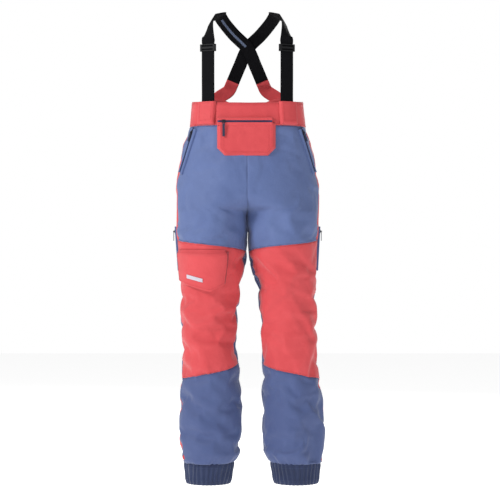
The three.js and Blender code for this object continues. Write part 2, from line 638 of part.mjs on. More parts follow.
// The space behind a surface parallel to the trunk, at a distance from its cloth.
function trunkFront(distance) {
  const at = (a, b, k) => {
    const height = lerp(CHEST.foot - 20, BIB_TOP, b);
    const point = offTrunk(lerp(-0.4, 0.4, a), height, distance);
    return k ? point : point.setY(chestBack + 20);
  };
  return solidOf(slab(16, 10, at));
}

const chestPatch = chestBlock(0, CHEST.top, chestFront)
  .subtract(trunkFront(CHEST.gap))
  .subtract(chestBlock(CHEST.skin, chestEdge, chestFront + CHEST.skin));
add("chest_pocket", fromSolid(chestPatch), CORAL);

const chestZipZ = CHEST.top + ZIP.tape / 2 - CHEST_ZIP.overlap;
const chestZipAt = (x) => vector(x, chestFront - CHEST_ZIP.sunk, chestZipZ);
zip({
  name: "chest",
  top: chestZipAt(CHEST.right + CHEST_ZIP.right),
  foot: chestZipAt(CHEST.left - CHEST_ZIP.left),
  face: vector(0, -1, 0),
  sliderAt: CHEST_ZIP.slider,
  pullLength: CHEST_ZIP.pull,
  alongPin: true,
});

// ---------------------------------------------------------------- hand pockets and vents

const HAND = {
  topRound: 0.335,
  footRound: 0.4,
  top: BAND_BOTTOM - 8,
  foot: INSEAM + 112,
  rise: 4.5,
};
const VENT = { top: THIGH_SEAM.outer + 36, foot: THIGH_BOTTOM + 78, round: 0.5, rise: 2.4 };
const SIDE_ZIP = { slider: 12, pull: 20 };
for (const [word, side] of SIDES) {
  const handFace = outwards(side, (HAND.topRound + HAND.footRound) / 2, (HAND.top + HAND.foot) / 2);
  zip({
    name: `hand_${word}`,
    top: offCloth(side, HAND.topRound, HAND.top, HAND.rise),
    foot: offCloth(side, HAND.footRound, HAND.foot, HAND.rise),
    face: handFace,
    sliderAt: SIDE_ZIP.slider,
    pullLength: SIDE_ZIP.pull,
    plumb: false,
  });
  const ventFace = vector(side, 0, 0);
  zip({
    name: `vent_${word}`,
    top: offCloth(side, VENT.round, VENT.top, VENT.rise),
    foot: offCloth(side, VENT.round, VENT.foot, VENT.rise),
    face: ventFace,
    sliderAt: SIDE_ZIP.slider,
    pullLength: SIDE_ZIP.pull,
  });
}

// ---------------------------------------------------------------- cargo pocket

// A bellows pocket on the outside of the wearer's right thigh, under a flap that hangs from its top.
const CARGO = {
  side: -1,
  from: 0.2,
  to: 0.43,
  top: THIGH_SEAM.inner + 6,
  foot: INSEAM - 216,
  lift: 2,
  deep: 14,
  skin: 1.6,
  skinWay: 0.012,
  mouth: 12,
  base: 6,
};
const FLAP = { gap: 1.4, thick: 2, wider: 0.012, below: 12, point: 10, pointAt: 0.35 };
const cargo = { side: CARGO.side, from: CARGO.from, to: CARGO.to, across: 8, up: 5 };
const cargoBlock = (inset, foot, top, under, over) =>
  solidOf(panel({
    ...cargo,
    from: CARGO.from + inset,
    to: CARGO.to - inset,
    bottom: level(foot),
    top: level(top),
    under,
    over,
  }));
const cargoFoot = CARGO.foot + CARGO.base;
const cargoMouth = CARGO.top - CARGO.mouth;
const cargoOuter = cargoBlock(0, cargoFoot, cargoMouth, CARGO.lift, CARGO.deep);
const hollowFoot = cargoFoot + CARGO.skin;
const hollowTop = CARGO.top + 5; // past the mouth, which stays open
const hollowUnder = CARGO.lift + CARGO.skin;
const hollowOver = CARGO.deep - CARGO.skin;
const cargoInner = cargoBlock(CARGO.skinWay, hollowFoot, hollowTop, hollowUnder, hollowOver);
add("cargo_pocket", fromSolid(cargoOuter.subtract(cargoInner)), CORAL);

const flapFace = { under: CARGO.deep + FLAP.gap, over: CARGO.deep + FLAP.gap + FLAP.thick };
const flapFoot = (round) => {
  const share = (round - CARGO.from) / (CARGO.to - CARGO.from);
  return CARGO.foot - FLAP.below + FLAP.point * Math.abs(share - FLAP.pointAt) * 2;
};
const flap = { ...cargo, from: CARGO.from - FLAP.wider, to: CARGO.to + FLAP.wider };
add("cargo_flap", panel({ ...flap, bottom: flapFoot, top: level(CARGO.top), ...flapFace }), CORAL);

// ---------------------------------------------------------------- snow gaiters

// A loose sleeve inside each leg, sewn to it at the top and drawn in by elastic at its hem.
const GAITER = { foot: 22, top: CUFF_HEIGHT + 125, inside: 11, sewn: 4.2, cloth: 1.4, taper: 50 };
for (const [word, side] of SIDES) {
  const heights = [GAITER.foot, GAITER.top - GAITER.taper, GAITER.top];
  const inset = through(heights, [GAITER.inside, GAITER.inside, GAITER.sewn]);
  const gaiter = slab(20, 4, (a, b, k) => {
    const height = lerp(GAITER.foot, GAITER.top, b);
    return offCloth(side, a, height, -inset(height) - (k ? 0 : GAITER.cloth));
  }, true);
  add(`snow_gaiter_${word}`, gaiter, NAVY);
}

export default pants;
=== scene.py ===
import math

import bpy
import numpy as np
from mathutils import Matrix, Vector, noise


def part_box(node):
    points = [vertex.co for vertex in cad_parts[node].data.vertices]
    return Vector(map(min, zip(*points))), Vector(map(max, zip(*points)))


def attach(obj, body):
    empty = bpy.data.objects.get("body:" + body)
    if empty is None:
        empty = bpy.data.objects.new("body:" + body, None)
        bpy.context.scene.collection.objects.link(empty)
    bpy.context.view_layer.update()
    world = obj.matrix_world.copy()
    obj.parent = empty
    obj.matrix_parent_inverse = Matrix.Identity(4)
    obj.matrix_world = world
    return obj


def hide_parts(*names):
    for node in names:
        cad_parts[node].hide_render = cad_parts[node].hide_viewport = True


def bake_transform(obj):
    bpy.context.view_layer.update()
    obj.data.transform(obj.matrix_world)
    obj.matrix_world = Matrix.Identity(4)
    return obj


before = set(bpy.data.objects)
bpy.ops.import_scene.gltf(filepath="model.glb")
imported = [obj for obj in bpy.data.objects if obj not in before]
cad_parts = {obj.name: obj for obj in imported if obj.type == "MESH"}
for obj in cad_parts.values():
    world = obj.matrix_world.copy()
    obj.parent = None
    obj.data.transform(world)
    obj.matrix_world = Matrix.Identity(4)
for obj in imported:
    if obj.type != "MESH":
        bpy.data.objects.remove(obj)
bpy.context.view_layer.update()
for loaded in list(bpy.context.selected_objects):
    loaded.select_set(False)

# ---------------------------------------------------------------- studio and camera
# The garment hangs in front of a plain white studio, seen from straight ahead at half its height,
# in soft light from the upper left with a weaker fill from the right.

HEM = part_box("cuff_right")[0][2]
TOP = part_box("brace_back_right")[1][2]
VIEW_CENTRE = (0.00725, (HEM + TOP) / 2 - 0.006)
VIEW_WIDTH = 1.45
VIEW_DISTANCE = 4.5


def aim(obj, place, target):
    """Puts a lamp or camera in its place, looking at a point."""
    obj.location = place
    obj.rotation_euler = (Vector(target) - Vector(place)).to_track_quat("-Z", "Y").to_euler()


camera = bpy.data.objects.new("camera", bpy.data.cameras.new("camera"))
bpy.context.collection.objects.link(camera)
aim(camera, (VIEW_CENTRE[0], -VIEW_DISTANCE, VIEW_CENTRE[1]), (VIEW_CENTRE[0], 0, VIEW_CENTRE[1]))
camera.data.angle = 2 * math.atan(VIEW_WIDTH / 2 / VIEW_DISTANCE)
bpy.context.scene.camera = camera

for name, place, size, power in (
    ("key", (-2.6, -1.9, 1.1), 0.8, 82),
    ("fill", (2.6, -2.6, -0.2), 1.6, 16),
    ("rim", (0.6, 2.6, 0.9), 1.6, 44),
):
    lamp = bpy.data.lights.new(name, "AREA")
    lamp.size = size
    lamp.energy = power
    lamp_object = bpy.data.objects.new(name, lamp)
    bpy.context.collection.objects.link(lamp_object)
    aim(lamp_object, place, (0, 0, VIEW_CENTRE[1]))

world = bpy.data.worlds.new("studio")
bpy.context.scene.world = world
world.use_nodes = True
# the surround is seen as pure white, but lights the cloth with less than that
SKY_LIGHT, SKY_SEEN = 0.38, 1.0
sky = world.node_tree.nodes["Background"]
sky.inputs["Color"].default_value = (1, 1, 1, 1)
rays = world.node_tree.nodes.new("ShaderNodeLightPath")
sky_strength = world.node_tree.nodes.new("ShaderNodeMapRange")
sky_strength.inputs["To Min"].default_value = SKY_LIGHT
sky_strength.inputs["To Max"].default_value = SKY_SEEN
world.node_tree.links.new(rays.outputs["Is Camera Ray"], sky_strength.inputs["Value"])
world.node_tree.links.new(sky_strength.outputs["Result"], sky.inputs["Strength"])
bpy.context.scene.view_settings.view_transform = "Standard"

bpy.ops.mesh.primitive_plane_add(size=14, location=(0, 0, HEM - 0.09))
floor = bpy.context.object
floor.name = "floor"
floor_paint = bpy.data.materials.new("floor_paint")
floor_paint.use_nodes = True
for socket, value in (
    ("Base Color", (0.93, 0.93, 0.93, 1)),
    ("Roughness", 0.9),
    ("Emission Color", (1, 1, 1, 1)),
    ("Emission Strength", 0.58),
):
    floor_paint.node_tree.nodes["Principled BSDF"].inputs[socket].default_value = value
floor.data.materials.append(floor_paint)

# ---------------------------------------------------------------- the shell's shape
# The garment is cut from padded shell cloth and hangs from its braces in its worn shape.
# Its heights are the seams of the pieces it is sewn from; the girths are set leg and trunk.

CUFF_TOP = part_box("cuff_right")[1][2]
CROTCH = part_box("upper_thigh_right")[1][2]
BAND_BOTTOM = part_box("bib_front")[0][2]
BIB_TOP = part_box("bib_front")[1][2] - 0.012
# height above the hem, then the leg's width and depth there, the gap between the legs and how
# far the section is set forward, all in millimetres
LEG = np.array([
    (0, 126, 116, 128, 0),
    (60, 142, 132, 108, 0),
    (100, 165, 160, 78, -3),
    (165, 179, 172, 62, -4),
    (320, 164, 166, 68, 0),
    (405, 154, 164, 78, 6),
    (545, 165, 188, 58, 3),
    (665, 197, 220, 9, 0),
    (786, 206, 256, 2, -5),
], dtype=float)
# height above the crotch, then half the width, the depth, the set forward and the squareness
TRUNK = np.array([
    (0, 207, 256, -5, 2.0),
    (64, 206, 276, -12, 2.1),
    (114, 200, 276, -13, 2.2),
    (184, 186, 258, -8, 2.4),
    (243, 168, 238, 0, 2.7),
    (307, 162, 226, 0, 2.8),
], dtype=float)
LOBES_END = 140.0
SWAY = np.array([(0, 14), (165, 13), (320, 9), (455, 4), (700, 0)], dtype=float)


def through(heights, values, at):
    """A smooth curve through values that never overshoots them."""
    step = np.diff(heights)
    slope = np.diff(values) / step
    tangent = np.zeros(len(values))
    tangent[0], tangent[-1] = slope[0], slope[-1]
    product = slope[:-1] * slope[1:]
    same = product > 0
    tangent[1:-1][same] = 2 * product[same] / (slope[:-1] + slope[1:])[same]
    h = np.clip(at, heights[0], heights[-1])
    i = np.clip(np.searchsorted(heights, h, side="left") - 1, 0, len(step) - 1)
    t = (h - heights[i]) / step[i]
    rise = t * t * (3 - 2 * t)
    bend = t * (1 - t) ** 2 * step[i] * tangent[i] - t * t * (1 - t) * step[i] * tangent[i + 1]
    return values[i] + (values[i + 1] - values[i]) * rise + bend


trunk_heights = TRUNK[:, 0] + LEG[-1, 0]
all_heights = np.concatenate([LEG[:-1, 0], trunk_heights])
outer_values = np.concatenate([LEG[:-1, 3] / 2 + LEG[:-1, 1], TRUNK[:, 1]])
depth_values = np.concatenate([LEG[:-1, 2] / 2, TRUNK[:, 2] / 2])
forward_values = np.concatenate([LEG[:-1, 4], TRUNK[:, 3]])
square_values = np.concatenate([np.full(len(LEG) - 1, 2.0), TRUNK[:, 4]])
ARC_STEPS = 96


def cloth_points(side, way, z, cut=None):
    """Points on the outside of the cloth, in metres. way runs from 0 at the centre front or inseam,
    by 0.5 at the side seam, to 1 at the centre back. cut scales each section's width and depth."""
    side, way, z = (np.asarray(v, dtype=float) for v in (side, way, z))
    side, way, z = np.broadcast_arrays(side, way, z)
    shape = z.shape
    side, way, height = side.ravel(), way.ravel(), (z.ravel() - HEM) * 1000
    crotch = LEG[-1, 0]
    outer = through(all_heights, outer_values, height)
    gap = through(LEG[:, 0], LEG[:, 3] / 2, np.minimum(height, crotch))
    deep = through(all_heights, depth_values, height)
    forward = through(all_heights, forward_values, height)
    square = through(all_heights, square_values, height)
    fade = np.clip((height - crotch) / LOBES_END, 0, 1)
    middle = (outer + gap) / 2 * (1 - fade) ** 2
    half = outer - middle
    ratio = np.clip(middle / half, 0, 1)
    spread = np.where(height > crotch, np.arccos(-ratio ** (square / 2)), np.pi)
    if cut is not None:
        wider = np.broadcast_to(np.asarray(cut, dtype=float), shape).ravel()
        half = half * wider
        deep = deep * wider
    front = way <= 0.5
    share = np.linspace(0, 1, ARC_STEPS + 1)[None, :]
    angle = np.where(front[:, None], -spread[:, None] * (1 - share), spread[:, None] * share)
    power = (2 / square)[:, None]

    def bent(c):
        return np.sign(c) * np.abs(c) ** power

    xs = middle[:, None] + half[:, None] * bent(np.cos(angle))
    ys = -forward[:, None] + deep[:, None] * bent(np.sin(angle))
    run = np.concatenate(
        [np.zeros((len(xs), 1)), np.cumsum(np.hypot(np.diff(xs), np.diff(ys)), axis=1)], axis=1,
    )
    target = run[:, -1] * np.clip(np.where(front, way * 2, way * 2 - 1), 0, 1)
    k = np.clip((run < target[:, None]).sum(axis=1) - 1, 0, ARC_STEPS - 1)
    row = np.arange(len(k))
    part = (target - run[row, k]) / (run[row, k + 1] - run[row, k])
    x = xs[row, k] + (xs[row, k + 1] - xs[row, k]) * part
    y = ys[row, k] + (ys[row, k + 1] - ys[row, k]) * part
    sway = through(SWAY[:, 0], SWAY[:, 1], height)
    return np.stack([(side * x + sway) / 1000, y / 1000, z.ravel()], axis=1).reshape(shape + (3,))


def cloth_normals(side, way, z):
    """The direction away from the cloth at those points."""
    way = np.clip(way, 0.01, 0.99)
    across = cloth_points(side, way + 0.01, z) - cloth_points(side, way - 0.01, z)
    up = cloth_points(side, way, z + 0.001) - cloth_points(side, way, z - 0.001)
    normal = np.cross(across, up) * np.asarray(side, dtype=float)[..., None]
    return normal / np.linalg.norm(normal, axis=-1, keepdims=True)


def new_object(name, points, faces):
    """An object at the origin with this mesh, smooth shaded."""
    mesh = bpy.data.meshes.new(name)
    mesh.from_pydata([tuple(p) for p in points], [], [tuple(int(v) for v in f) for f in faces])
    mesh.validate()
    obj = bpy.data.objects.new(name, mesh)
    bpy.context.collection.objects.link(obj)
    mesh.polygons.foreach_set("use_smooth", [True] * len(mesh.polygons))
    return obj


def select_only(obj):
    """Leaves just this object selected and active, as every operator here expects."""
    bpy.ops.object.select_all(action="DESELECT")
    obj.select_set(True)
    bpy.context.view_layer.objects.active = obj


def apply_modifier(obj, name, kind, **settings):
    """Adds a modifier with its settings and applies it."""
    select_only(obj)
    modifier = obj.modifiers.new(name, kind)
    for key, value in settings.items():
        setattr(modifier, key, value)
    bpy.ops.object.modifier_apply(modifier=modifier.name)


# Seam heights along the way round: the two colour seams slope from the inseam to the side seam.
def slope(inner, outer, way):
    return inner + (outer - inner) * (1 - np.abs(way - 0.5) * 2)


def thigh_seam(way):
    return HEM + slope(0.672, 0.706, way)


def shin_seam(way):
    share = 1 - np.abs(way - 0.5) * 2
    return HEM + 0.352 - 0.05 * share ** 0.8


BRACE_WAY = 0.8  # where each brace is sewn on behind


def band_top(way):
    """The top edge rises to the sides, and behind to where the braces are sewn on."""
    side = np.where(way < 0.5, (way * 2) ** 2, ((1 - way) * 2) ** 2)
    peak = np.where(way > 0.5, 0.030 * np.exp(-(((way - BRACE_WAY) / 0.13) ** 2)), 0)
    return BIB_TOP + 0.012 * side + peak


STRIPE = 0.045  # half the side stripe, as a share of the way round
WAYS = np.concatenate([
    np.linspace(0, 0.5 - STRIPE, 34)[:-1],
    np.linspace(0.5 - STRIPE, 0.5 + STRIPE, 7)[:-1],
    np.linspace(0.5 + STRIPE, 1, 34),
])
COLUMNS = len(WAYS) - 1


def level(height):
    """A seam at one height all the way round."""
    return lambda way: np.full_like(way, height)


SECTIONS = [  # name, seam below, seam above, rows
    ("shin", level(CUFF_TOP), shin_seam, 31),
    ("knee", shin_seam, thigh_seam, 42),
    ("thigh", thigh_seam, level(CROTCH), 12),
    ("hip", level(CROTCH), level(BAND_BOTTOM), 28),
    ("band", level(BAND_BOTTOM), band_top, 8),
]
ROWS = sum(s[3] for s in SECTIONS)
row_heights = []
for _, below, above, rows in SECTIONS:
    for j in range(rows):
        row_heights.append(below(WAYS) + (above(WAYS) - below(WAYS)) * j / rows)
row_heights.append(SECTIONS[-1][2](WAYS))
row_heights = np.array(row_heights)
SECTION_START = dict(zip([s[0] for s in SECTIONS], np.cumsum([0] + [s[3] for s in SECTIONS[:-1]])))

# A slack length of cloth for each height: where the garment is longer than the space it hangs in
# and where its cuffs and waist are drawn in, the cloth folds.
SLACK = np.array([(60, 1.20), (120, 1.16), (200, 1.07), (300, 1.06), (360, 1.13), (430, 1.12), (500, 1.05),
                  (620, 1.03), (700, 1.05), (790, 1.09), (900, 1.03), (1029, 1.02), (1100, 1.0)])
FULLNESS = np.array([(60, 1.30), (85, 1.20), (120, 1.09), (170, 1.03), (330, 1.04), (420, 1.05), (600, 1.02),
                     (900, 1.01), (1000, 1.03), (1100, 1.0)])


def garment_grid():
    """Every grid point as worn, as cut, and as its side, way and height."""
    points, rest, keys = [], [], []
    for side in (-1, 1):
        way = np.broadcast_to(WAYS, row_heights.shape)
        height = (row_heights - HEM) * 1000
        p = cloth_points(side, way, row_heights)
        full = np.interp(height, FULLNESS[:, 0], FULLNESS[:, 1])
        r = cloth_points(side, way, row_heights, cut=full)
        slack = np.interp(height, SLACK[:, 0], SLACK[:, 1])
        rise = np.diff(row_heights, axis=0) * (slack[1:] + slack[:-1]) / 2
        r[..., 2] = row_heights[0] + np.concatenate([np.zeros((1, len(WAYS))), np.cumsum(rise, axis=0)])
        points.append(p.reshape(-1, 3))
        rest.append(r.reshape(-1, 3))
        keys.append(np.stack([np.full(p.shape[:2], side), way, row_heights], axis=-1).reshape(-1, 3))
    return np.concatenate(points), np.concatenate(rest), np.concatenate(keys)


grid_points, grid_rest, grid_keys = garment_grid()
wide = COLUMNS + 1


def index(s, j, i):
    """The number of a grid point: half s of the garment, row j, column i."""
    return s * (ROWS + 1) * wide + j * wide + i


# Points that are sewn together: each leg's own edge along the inseam, and the two halves along the
# centre seams above the crotch.
joined = np.arange(len(grid_points))
crotch_row = SECTION_START["hip"]
for s in (0, 1):
    for j in range(crotch_row + 1):
        joined[index(s, j, COLUMNS)] = index(s, j, 0)
for j in range(crotch_row, ROWS + 1):
    for i in (0, COLUMNS):
        joined[index(1, j, i)] = index(0, j, i) if j > crotch_row else index(0, j, 0)
joined = joined[joined]
kept, number = np.unique(joined, return_inverse=True)
faces = []
for s in (0, 1):
    for j in range(ROWS):
        for i in range(COLUMNS):
            quad = [index(s, j, i), index(s, j, i + 1), index(s, j + 1, i + 1), index(s, j + 1, i)]
            quad = [number[q] for q in quad]
            faces.append(quad if s else quad[::-1])
start = grid_points[kept].copy()
centre = np.abs(grid_keys[kept][:, 1] % 1) < 1e-9
above = grid_keys[kept][:, 2] > CROTCH - 1e-6
start[centre & above, 0] = 0
rest_shape = grid_rest[kept].copy()
rest_shape[centre & above, 0] = 0
vertex_keys = grid_keys[kept]

shell = new_object("shell", start, faces)

# ---------------------------------------------------------------- how the cloth hangs
# The cloth is cut longer and wider than the space it hangs in, so it settles into small folds. It
# is held at its seams. The larger folds are then pressed in along set lines.

CAP = 0.012  # the furthest that settling may move the cloth, in metres
HANG_FRAMES, CACHE_FRAMES = 22, 40
SEAM_HOLD, SIDE_HOLD, INSEAM_HOLD = 0.35, 0.25, 0.2  # 1 keeps the cloth still


def crease(points, a, b, width, side=-1):
    """1 along a line from a to b in the front view, fading over width. a and b are (x, z) in metres
    and side is -1 for the front of the garment."""
    p = points[:, [0, 2]]
    a, b = np.array(a), np.array(b)
    along = np.clip(((p - a) @ (b - a)) / ((b - a) @ (b - a)), 0, 1)
    away = np.linalg.norm(p - (a + along[:, None] * (b - a)), axis=1)
    ends = np.sin(np.pi * np.clip(along * 0.9 + 0.05, 0, 1)) ** 0.5
    facing = np.clip(points[:, 1] * side / 0.03 + 0.5, 0, 1)
    return np.exp(-((away / width) ** 2)) * ends * facing


def smooth_noise(points, size, seed):
    """Smooth noise from -1 to 1 at each point, in lumps of about this size."""
    return np.array(
        [noise.noise(Vector((p / size).tolist()) + Vector((seed, seed * 1.7, -seed))) for p in points]
    )


def normals_of(obj):
    values = np.zeros(len(obj.data.vertices) * 3)
    obj.data.vertices.foreach_get("normal", values)
    return values.reshape(-1, 3)


def hang_cloth(obj):
    """Lets the slack cloth settle between its seams, and keeps what it does small."""
    height = (vertex_keys[:, 2] - HEM) * 1000
    way = vertex_keys[:, 1]
    basis = start + normals_of(obj) * (smooth_noise(start, 0.05, 3.0) * 0.0022)[:, None]
    key_basis = obj.shape_key_add(name="hung")
    key_cut = obj.shape_key_add(name="cut")
    key_basis.data.foreach_set("co", basis.ravel())
    key_cut.data.foreach_set("co", rest_shape.ravel())
    held = np.zeros(len(start))
    held[height >= (BAND_BOTTOM - HEM) * 1000 - 1e-3] = 1
    held[height <= (CUFF_TOP - HEM) * 1000 + 1e-3] = 1
    for seam in (shin_seam, thigh_seam):
        held[(np.abs(vertex_keys[:, 2] - seam(way)) < 1e-5)] = SEAM_HOLD
    held[(np.abs(way - 0.5) < 1e-6) & (held < SEAM_HOLD)] = SIDE_HOLD
    held[(way < 1e-6) & (held < SEAM_HOLD)] = INSEAM_HOLD
    # behind the chest pocket and under the zips the cloth is sewn down
    x, z = start[:, 0], start[:, 2] - HEM
    front = start[:, 1] < 0
    held[front & (np.abs(x + 0.003) < 0.095) & (z > 0.935)] = 1
    held[(way > 0.3) & (way < 0.43) & (z > 0.885)] = 1
    held[(way > 0.46) & (way < 0.54) & (z > 0.605) & (z < 0.76)] = 1
    held[(x < 0) & (way > 0.17) & (way < 0.46) & (z > 0.555) & (z < 0.69)] = 1
    group = obj.vertex_groups.new(name="held")
    for i, w in enumerate(held):
        if w > 0:
            group.add([i], float(w), "REPLACE")
    select_only(obj)
    # Cloth takes its rest shape from a shape key only behind a modifier that makes geometry
    whole = obj.modifiers.new("whole", "EDGE_SPLIT")
    whole.use_edge_angle = whole.use_edge_sharp = False
    modifier = obj.modifiers.new("cloth", "CLOTH")
    for key, value in dict(
        quality=5, mass=0.25, air_damping=4,
        tension_stiffness=60, compression_stiffness=60, shear_stiffness=8, bending_stiffness=0.6,
        bending_damping=1.0, tension_damping=12, compression_damping=12,
        use_pressure=True, uniform_pressure_force=1.0, vertex_group_mass="held", pin_stiffness=1.0,
        rest_shape_key=obj.data.shape_keys.key_blocks["cut"],
    ).items():
        setattr(modifier.settings, key, value)
    modifier.settings.effector_weights.gravity = 0
    modifier.collision_settings.use_collision = False
    modifier.collision_settings.use_self_collision = False
    scene = bpy.context.scene
    scene.frame_start, scene.frame_end = 1, CACHE_FRAMES
    modifier.point_cache.frame_start, modifier.point_cache.frame_end = 1, CACHE_FRAMES
    for step in range(1, HANG_FRAMES + 1):
        scene.frame_set(step)
    depsgraph = bpy.context.evaluated_depsgraph_get()
    settled = np.zeros(len(start) * 3)
    obj.evaluated_get(depsgraph).data.vertices.foreach_get("co", settled)
    settled = settled.reshape(-1, 3)
    obj.modifiers.clear()
    obj.shape_key_clear()
    scene.frame_set(1)
    moved = settled - start
    # the grid's columns crowd together at the crotch, so its rows there are eased into the next
    sheets = moved[number].reshape(2, ROWS + 1, wide, 3)
    low, high = crotch_row - 4, crotch_row + 6
    share = (np.arange(low, high + 1) - low)[None, :, None, None] / (high - low)
    sheets[:, low:high + 1] = sheets[:, low:low + 1] * (1 - share) + sheets[:, high:high + 1] * share
    moved = sheets.reshape(-1, 3)[np.unique(joined, return_index=True)[1]]
    length = np.linalg.norm(moved, axis=1, keepdims=True)
    moved *= np.where(length > 1e-9, CAP * np.tanh(length / CAP) / np.maximum(length, 1e-9), 1)
    return start + moved


hung = hang_cloth(shell)

# Folds that the wearer's knees, the crotch and the pockets leave: (x, height) to (x, height), how
# deep and how wide, in metres. Each is a valley with a soft ridge above it.
FOLDS = [
    ((-0.167, 0.444), (-0.065, 0.450), 0.0050, 0.011),
    ((-0.176, 0.470), (-0.105, 0.487), 0.0030, 0.010),
    ((-0.184, 0.336), (-0.110, 0.318), 0.0038, 0.009),
    ((-0.160, 0.398), (-0.090, 0.386), 0.0032, 0.010),
    ((0.065, 0.452), (0.100, 0.482), 0.0042, 0.010),
    ((0.100, 0.482), (0.175, 0.473), 0.0042, 0.010),
    ((0.057, 0.423), (0.115, 0.376), 0.0058, 0.010),
    ((0.115, 0.406), (0.190, 0.426), 0.0044, 0.010),
    ((-0.022, 0.922), (-0.003, 0.835), 0.0032, 0.007),
    ((0.051, 0.922), (0.020, 0.835), 0.0034, 0.007),
    ((-0.161, 0.742), (-0.094, 0.739), 0.0034, 0.009),
    ((0.040, 0.740), (0.130, 0.776), 0.0032, 0.011),
    ((-0.040, 0.752), (-0.120, 0.790), 0.0030, 0.011),
    ((-0.123, 0.322), (-0.065, 0.270), 0.0040, 0.010),
    ((-0.170, 0.250), (-0.095, 0.205), 0.0038, 0.011),
    ((-0.165, 0.150), (-0.070, 0.128), 0.0050, 0.011),
    ((-0.085, 0.190), (-0.050, 0.160), 0.0034, 0.009),
    ((0.080, 0.322), (0.100, 0.212), 0.0040, 0.010),
    ((0.110, 0.250), (0.190, 0.196), 0.0040, 0.011),
    ((0.070, 0.150), (0.170, 0.122), 0.0050, 0.011),
    ((0.150, 0.168), (0.205, 0.150), 0.0036, 0.009),
    ((-0.155, 0.560), (-0.080, 0.545), 0.0026, 0.012),
    ((0.075, 0.600), (0.165, 0.566), 0.0030, 0.012),
    ((0.060, 0.660), (0.120, 0.640), 0.0026, 0.010),
]
BACK_FOLDS = [
    ((-0.150, 0.455), (-0.060, 0.440), 0.0055, 0.011),
    ((-0.165, 0.425), (-0.070, 0.412), 0.0045, 0.010),
    ((-0.140, 0.388), (-0.060, 0.398), 0.0040, 0.010),
    ((0.060, 0.440), (0.150, 0.455), 0.0055, 0.011),
    ((0.070, 0.412), (0.165, 0.425), 0.0045, 0.010),
    ((0.062, 0.396), (0.140, 0.386), 0.0040, 0.010),
    ((-0.030, 0.790), (-0.140, 0.740), 0.0048, 0.012),
    ((0.030, 0.790), (0.140, 0.740), 0.0048, 0.012),
    ((-0.165, 0.160), (-0.060, 0.130), 0.0048, 0.011),
    ((0.070, 0.130), (0.175, 0.160), 0.0048, 0.011),
]
shell.data.vertices.foreach_set("co", hung.ravel())
shell.data.update()
outwards = normals_of(shell)
fold_places = hung - np.array([0, 0, HEM])
depth = np.zeros(len(hung))
for folds, facing in ((FOLDS, -1), (BACK_FOLDS, 1)):
    for a, b, deep, width in folds:
        up = np.array([0, width * 1.7])
        depth -= crease(fold_places, a, b, width, facing) * deep
        depth += crease(fold_places, np.array(a) + up, np.array(b) + up, width * 1.2, facing) * deep * 0.55
flat_places = (vertex_keys[:, 2] - HEM > 0.93) & (hung[:, 1] < 0) & (np.abs(hung[:, 0]) < 0.1)
depth[flat_places] = 0
creased = hung + outwards * depth[:, None]
GRID = creased[number].reshape(2, ROWS + 1, wide, 3)
CUT = rest_shape[number].reshape(2, ROWS + 1, wide, 3)
shell.data.vertices.foreach_set("co", creased.ravel())
shell.data.update()
OUT = normals_of(shell)[number].reshape(2, ROWS + 1, wide, 3)
bpy.data.objects.remove(shell)


def add_node(tree, kind, inputs=(), **settings):
    """Adds a node with its settings, and sets or links its inputs."""
    node = tree.nodes.new(kind)
    for key, value in settings.items():
        setattr(node, key, value)
    for key, value in dict(inputs).items():
        if isinstance(value, bpy.types.NodeSocket):
            tree.links.new(value, node.inputs[key])
        else:
            node.inputs[key].default_value = value
    return node


def linear(hex_colour):
    """An sRGB hex colour as linear red, green, blue and alpha."""
    parts = [int(hex_colour[i:i + 2], 16) / 255 for i in (1, 3, 5)]
    return tuple(c / 12.92 if c <= 0.04045 else ((c + 0.055) / 1.055) ** 2.4 for c in parts) + (1,)


def new_material(name):
    """A material with nodes, its node tree and its shader."""
    material = bpy.data.materials.new(name)
    material.use_nodes = True
    return material, material.node_tree, material.node_tree.nodes["Principled BSDF"]


WAVE_SPAN = 0.314  # how far apart a wave texture's stripes are at scale 1


def crossed_waves(tree, place, across, along, **inputs):
    """Two sets of stripes at right angles, each drawn this far apart, multiplied together."""
    waves = [
        add_node(
            tree, "ShaderNodeTexWave",
            {"Vector": place.outputs["UV"], "Scale": WAVE_SPAN / apart, **inputs}, bands_direction=axis,
        )
        for axis, apart in (("X", across), ("Y", along))
    ]
    return add_node(
        tree, "ShaderNodeMath", {0: waves[0].outputs["Fac"], 1: waves[1].outputs["Fac"]},
        operation="MULTIPLY",
    )


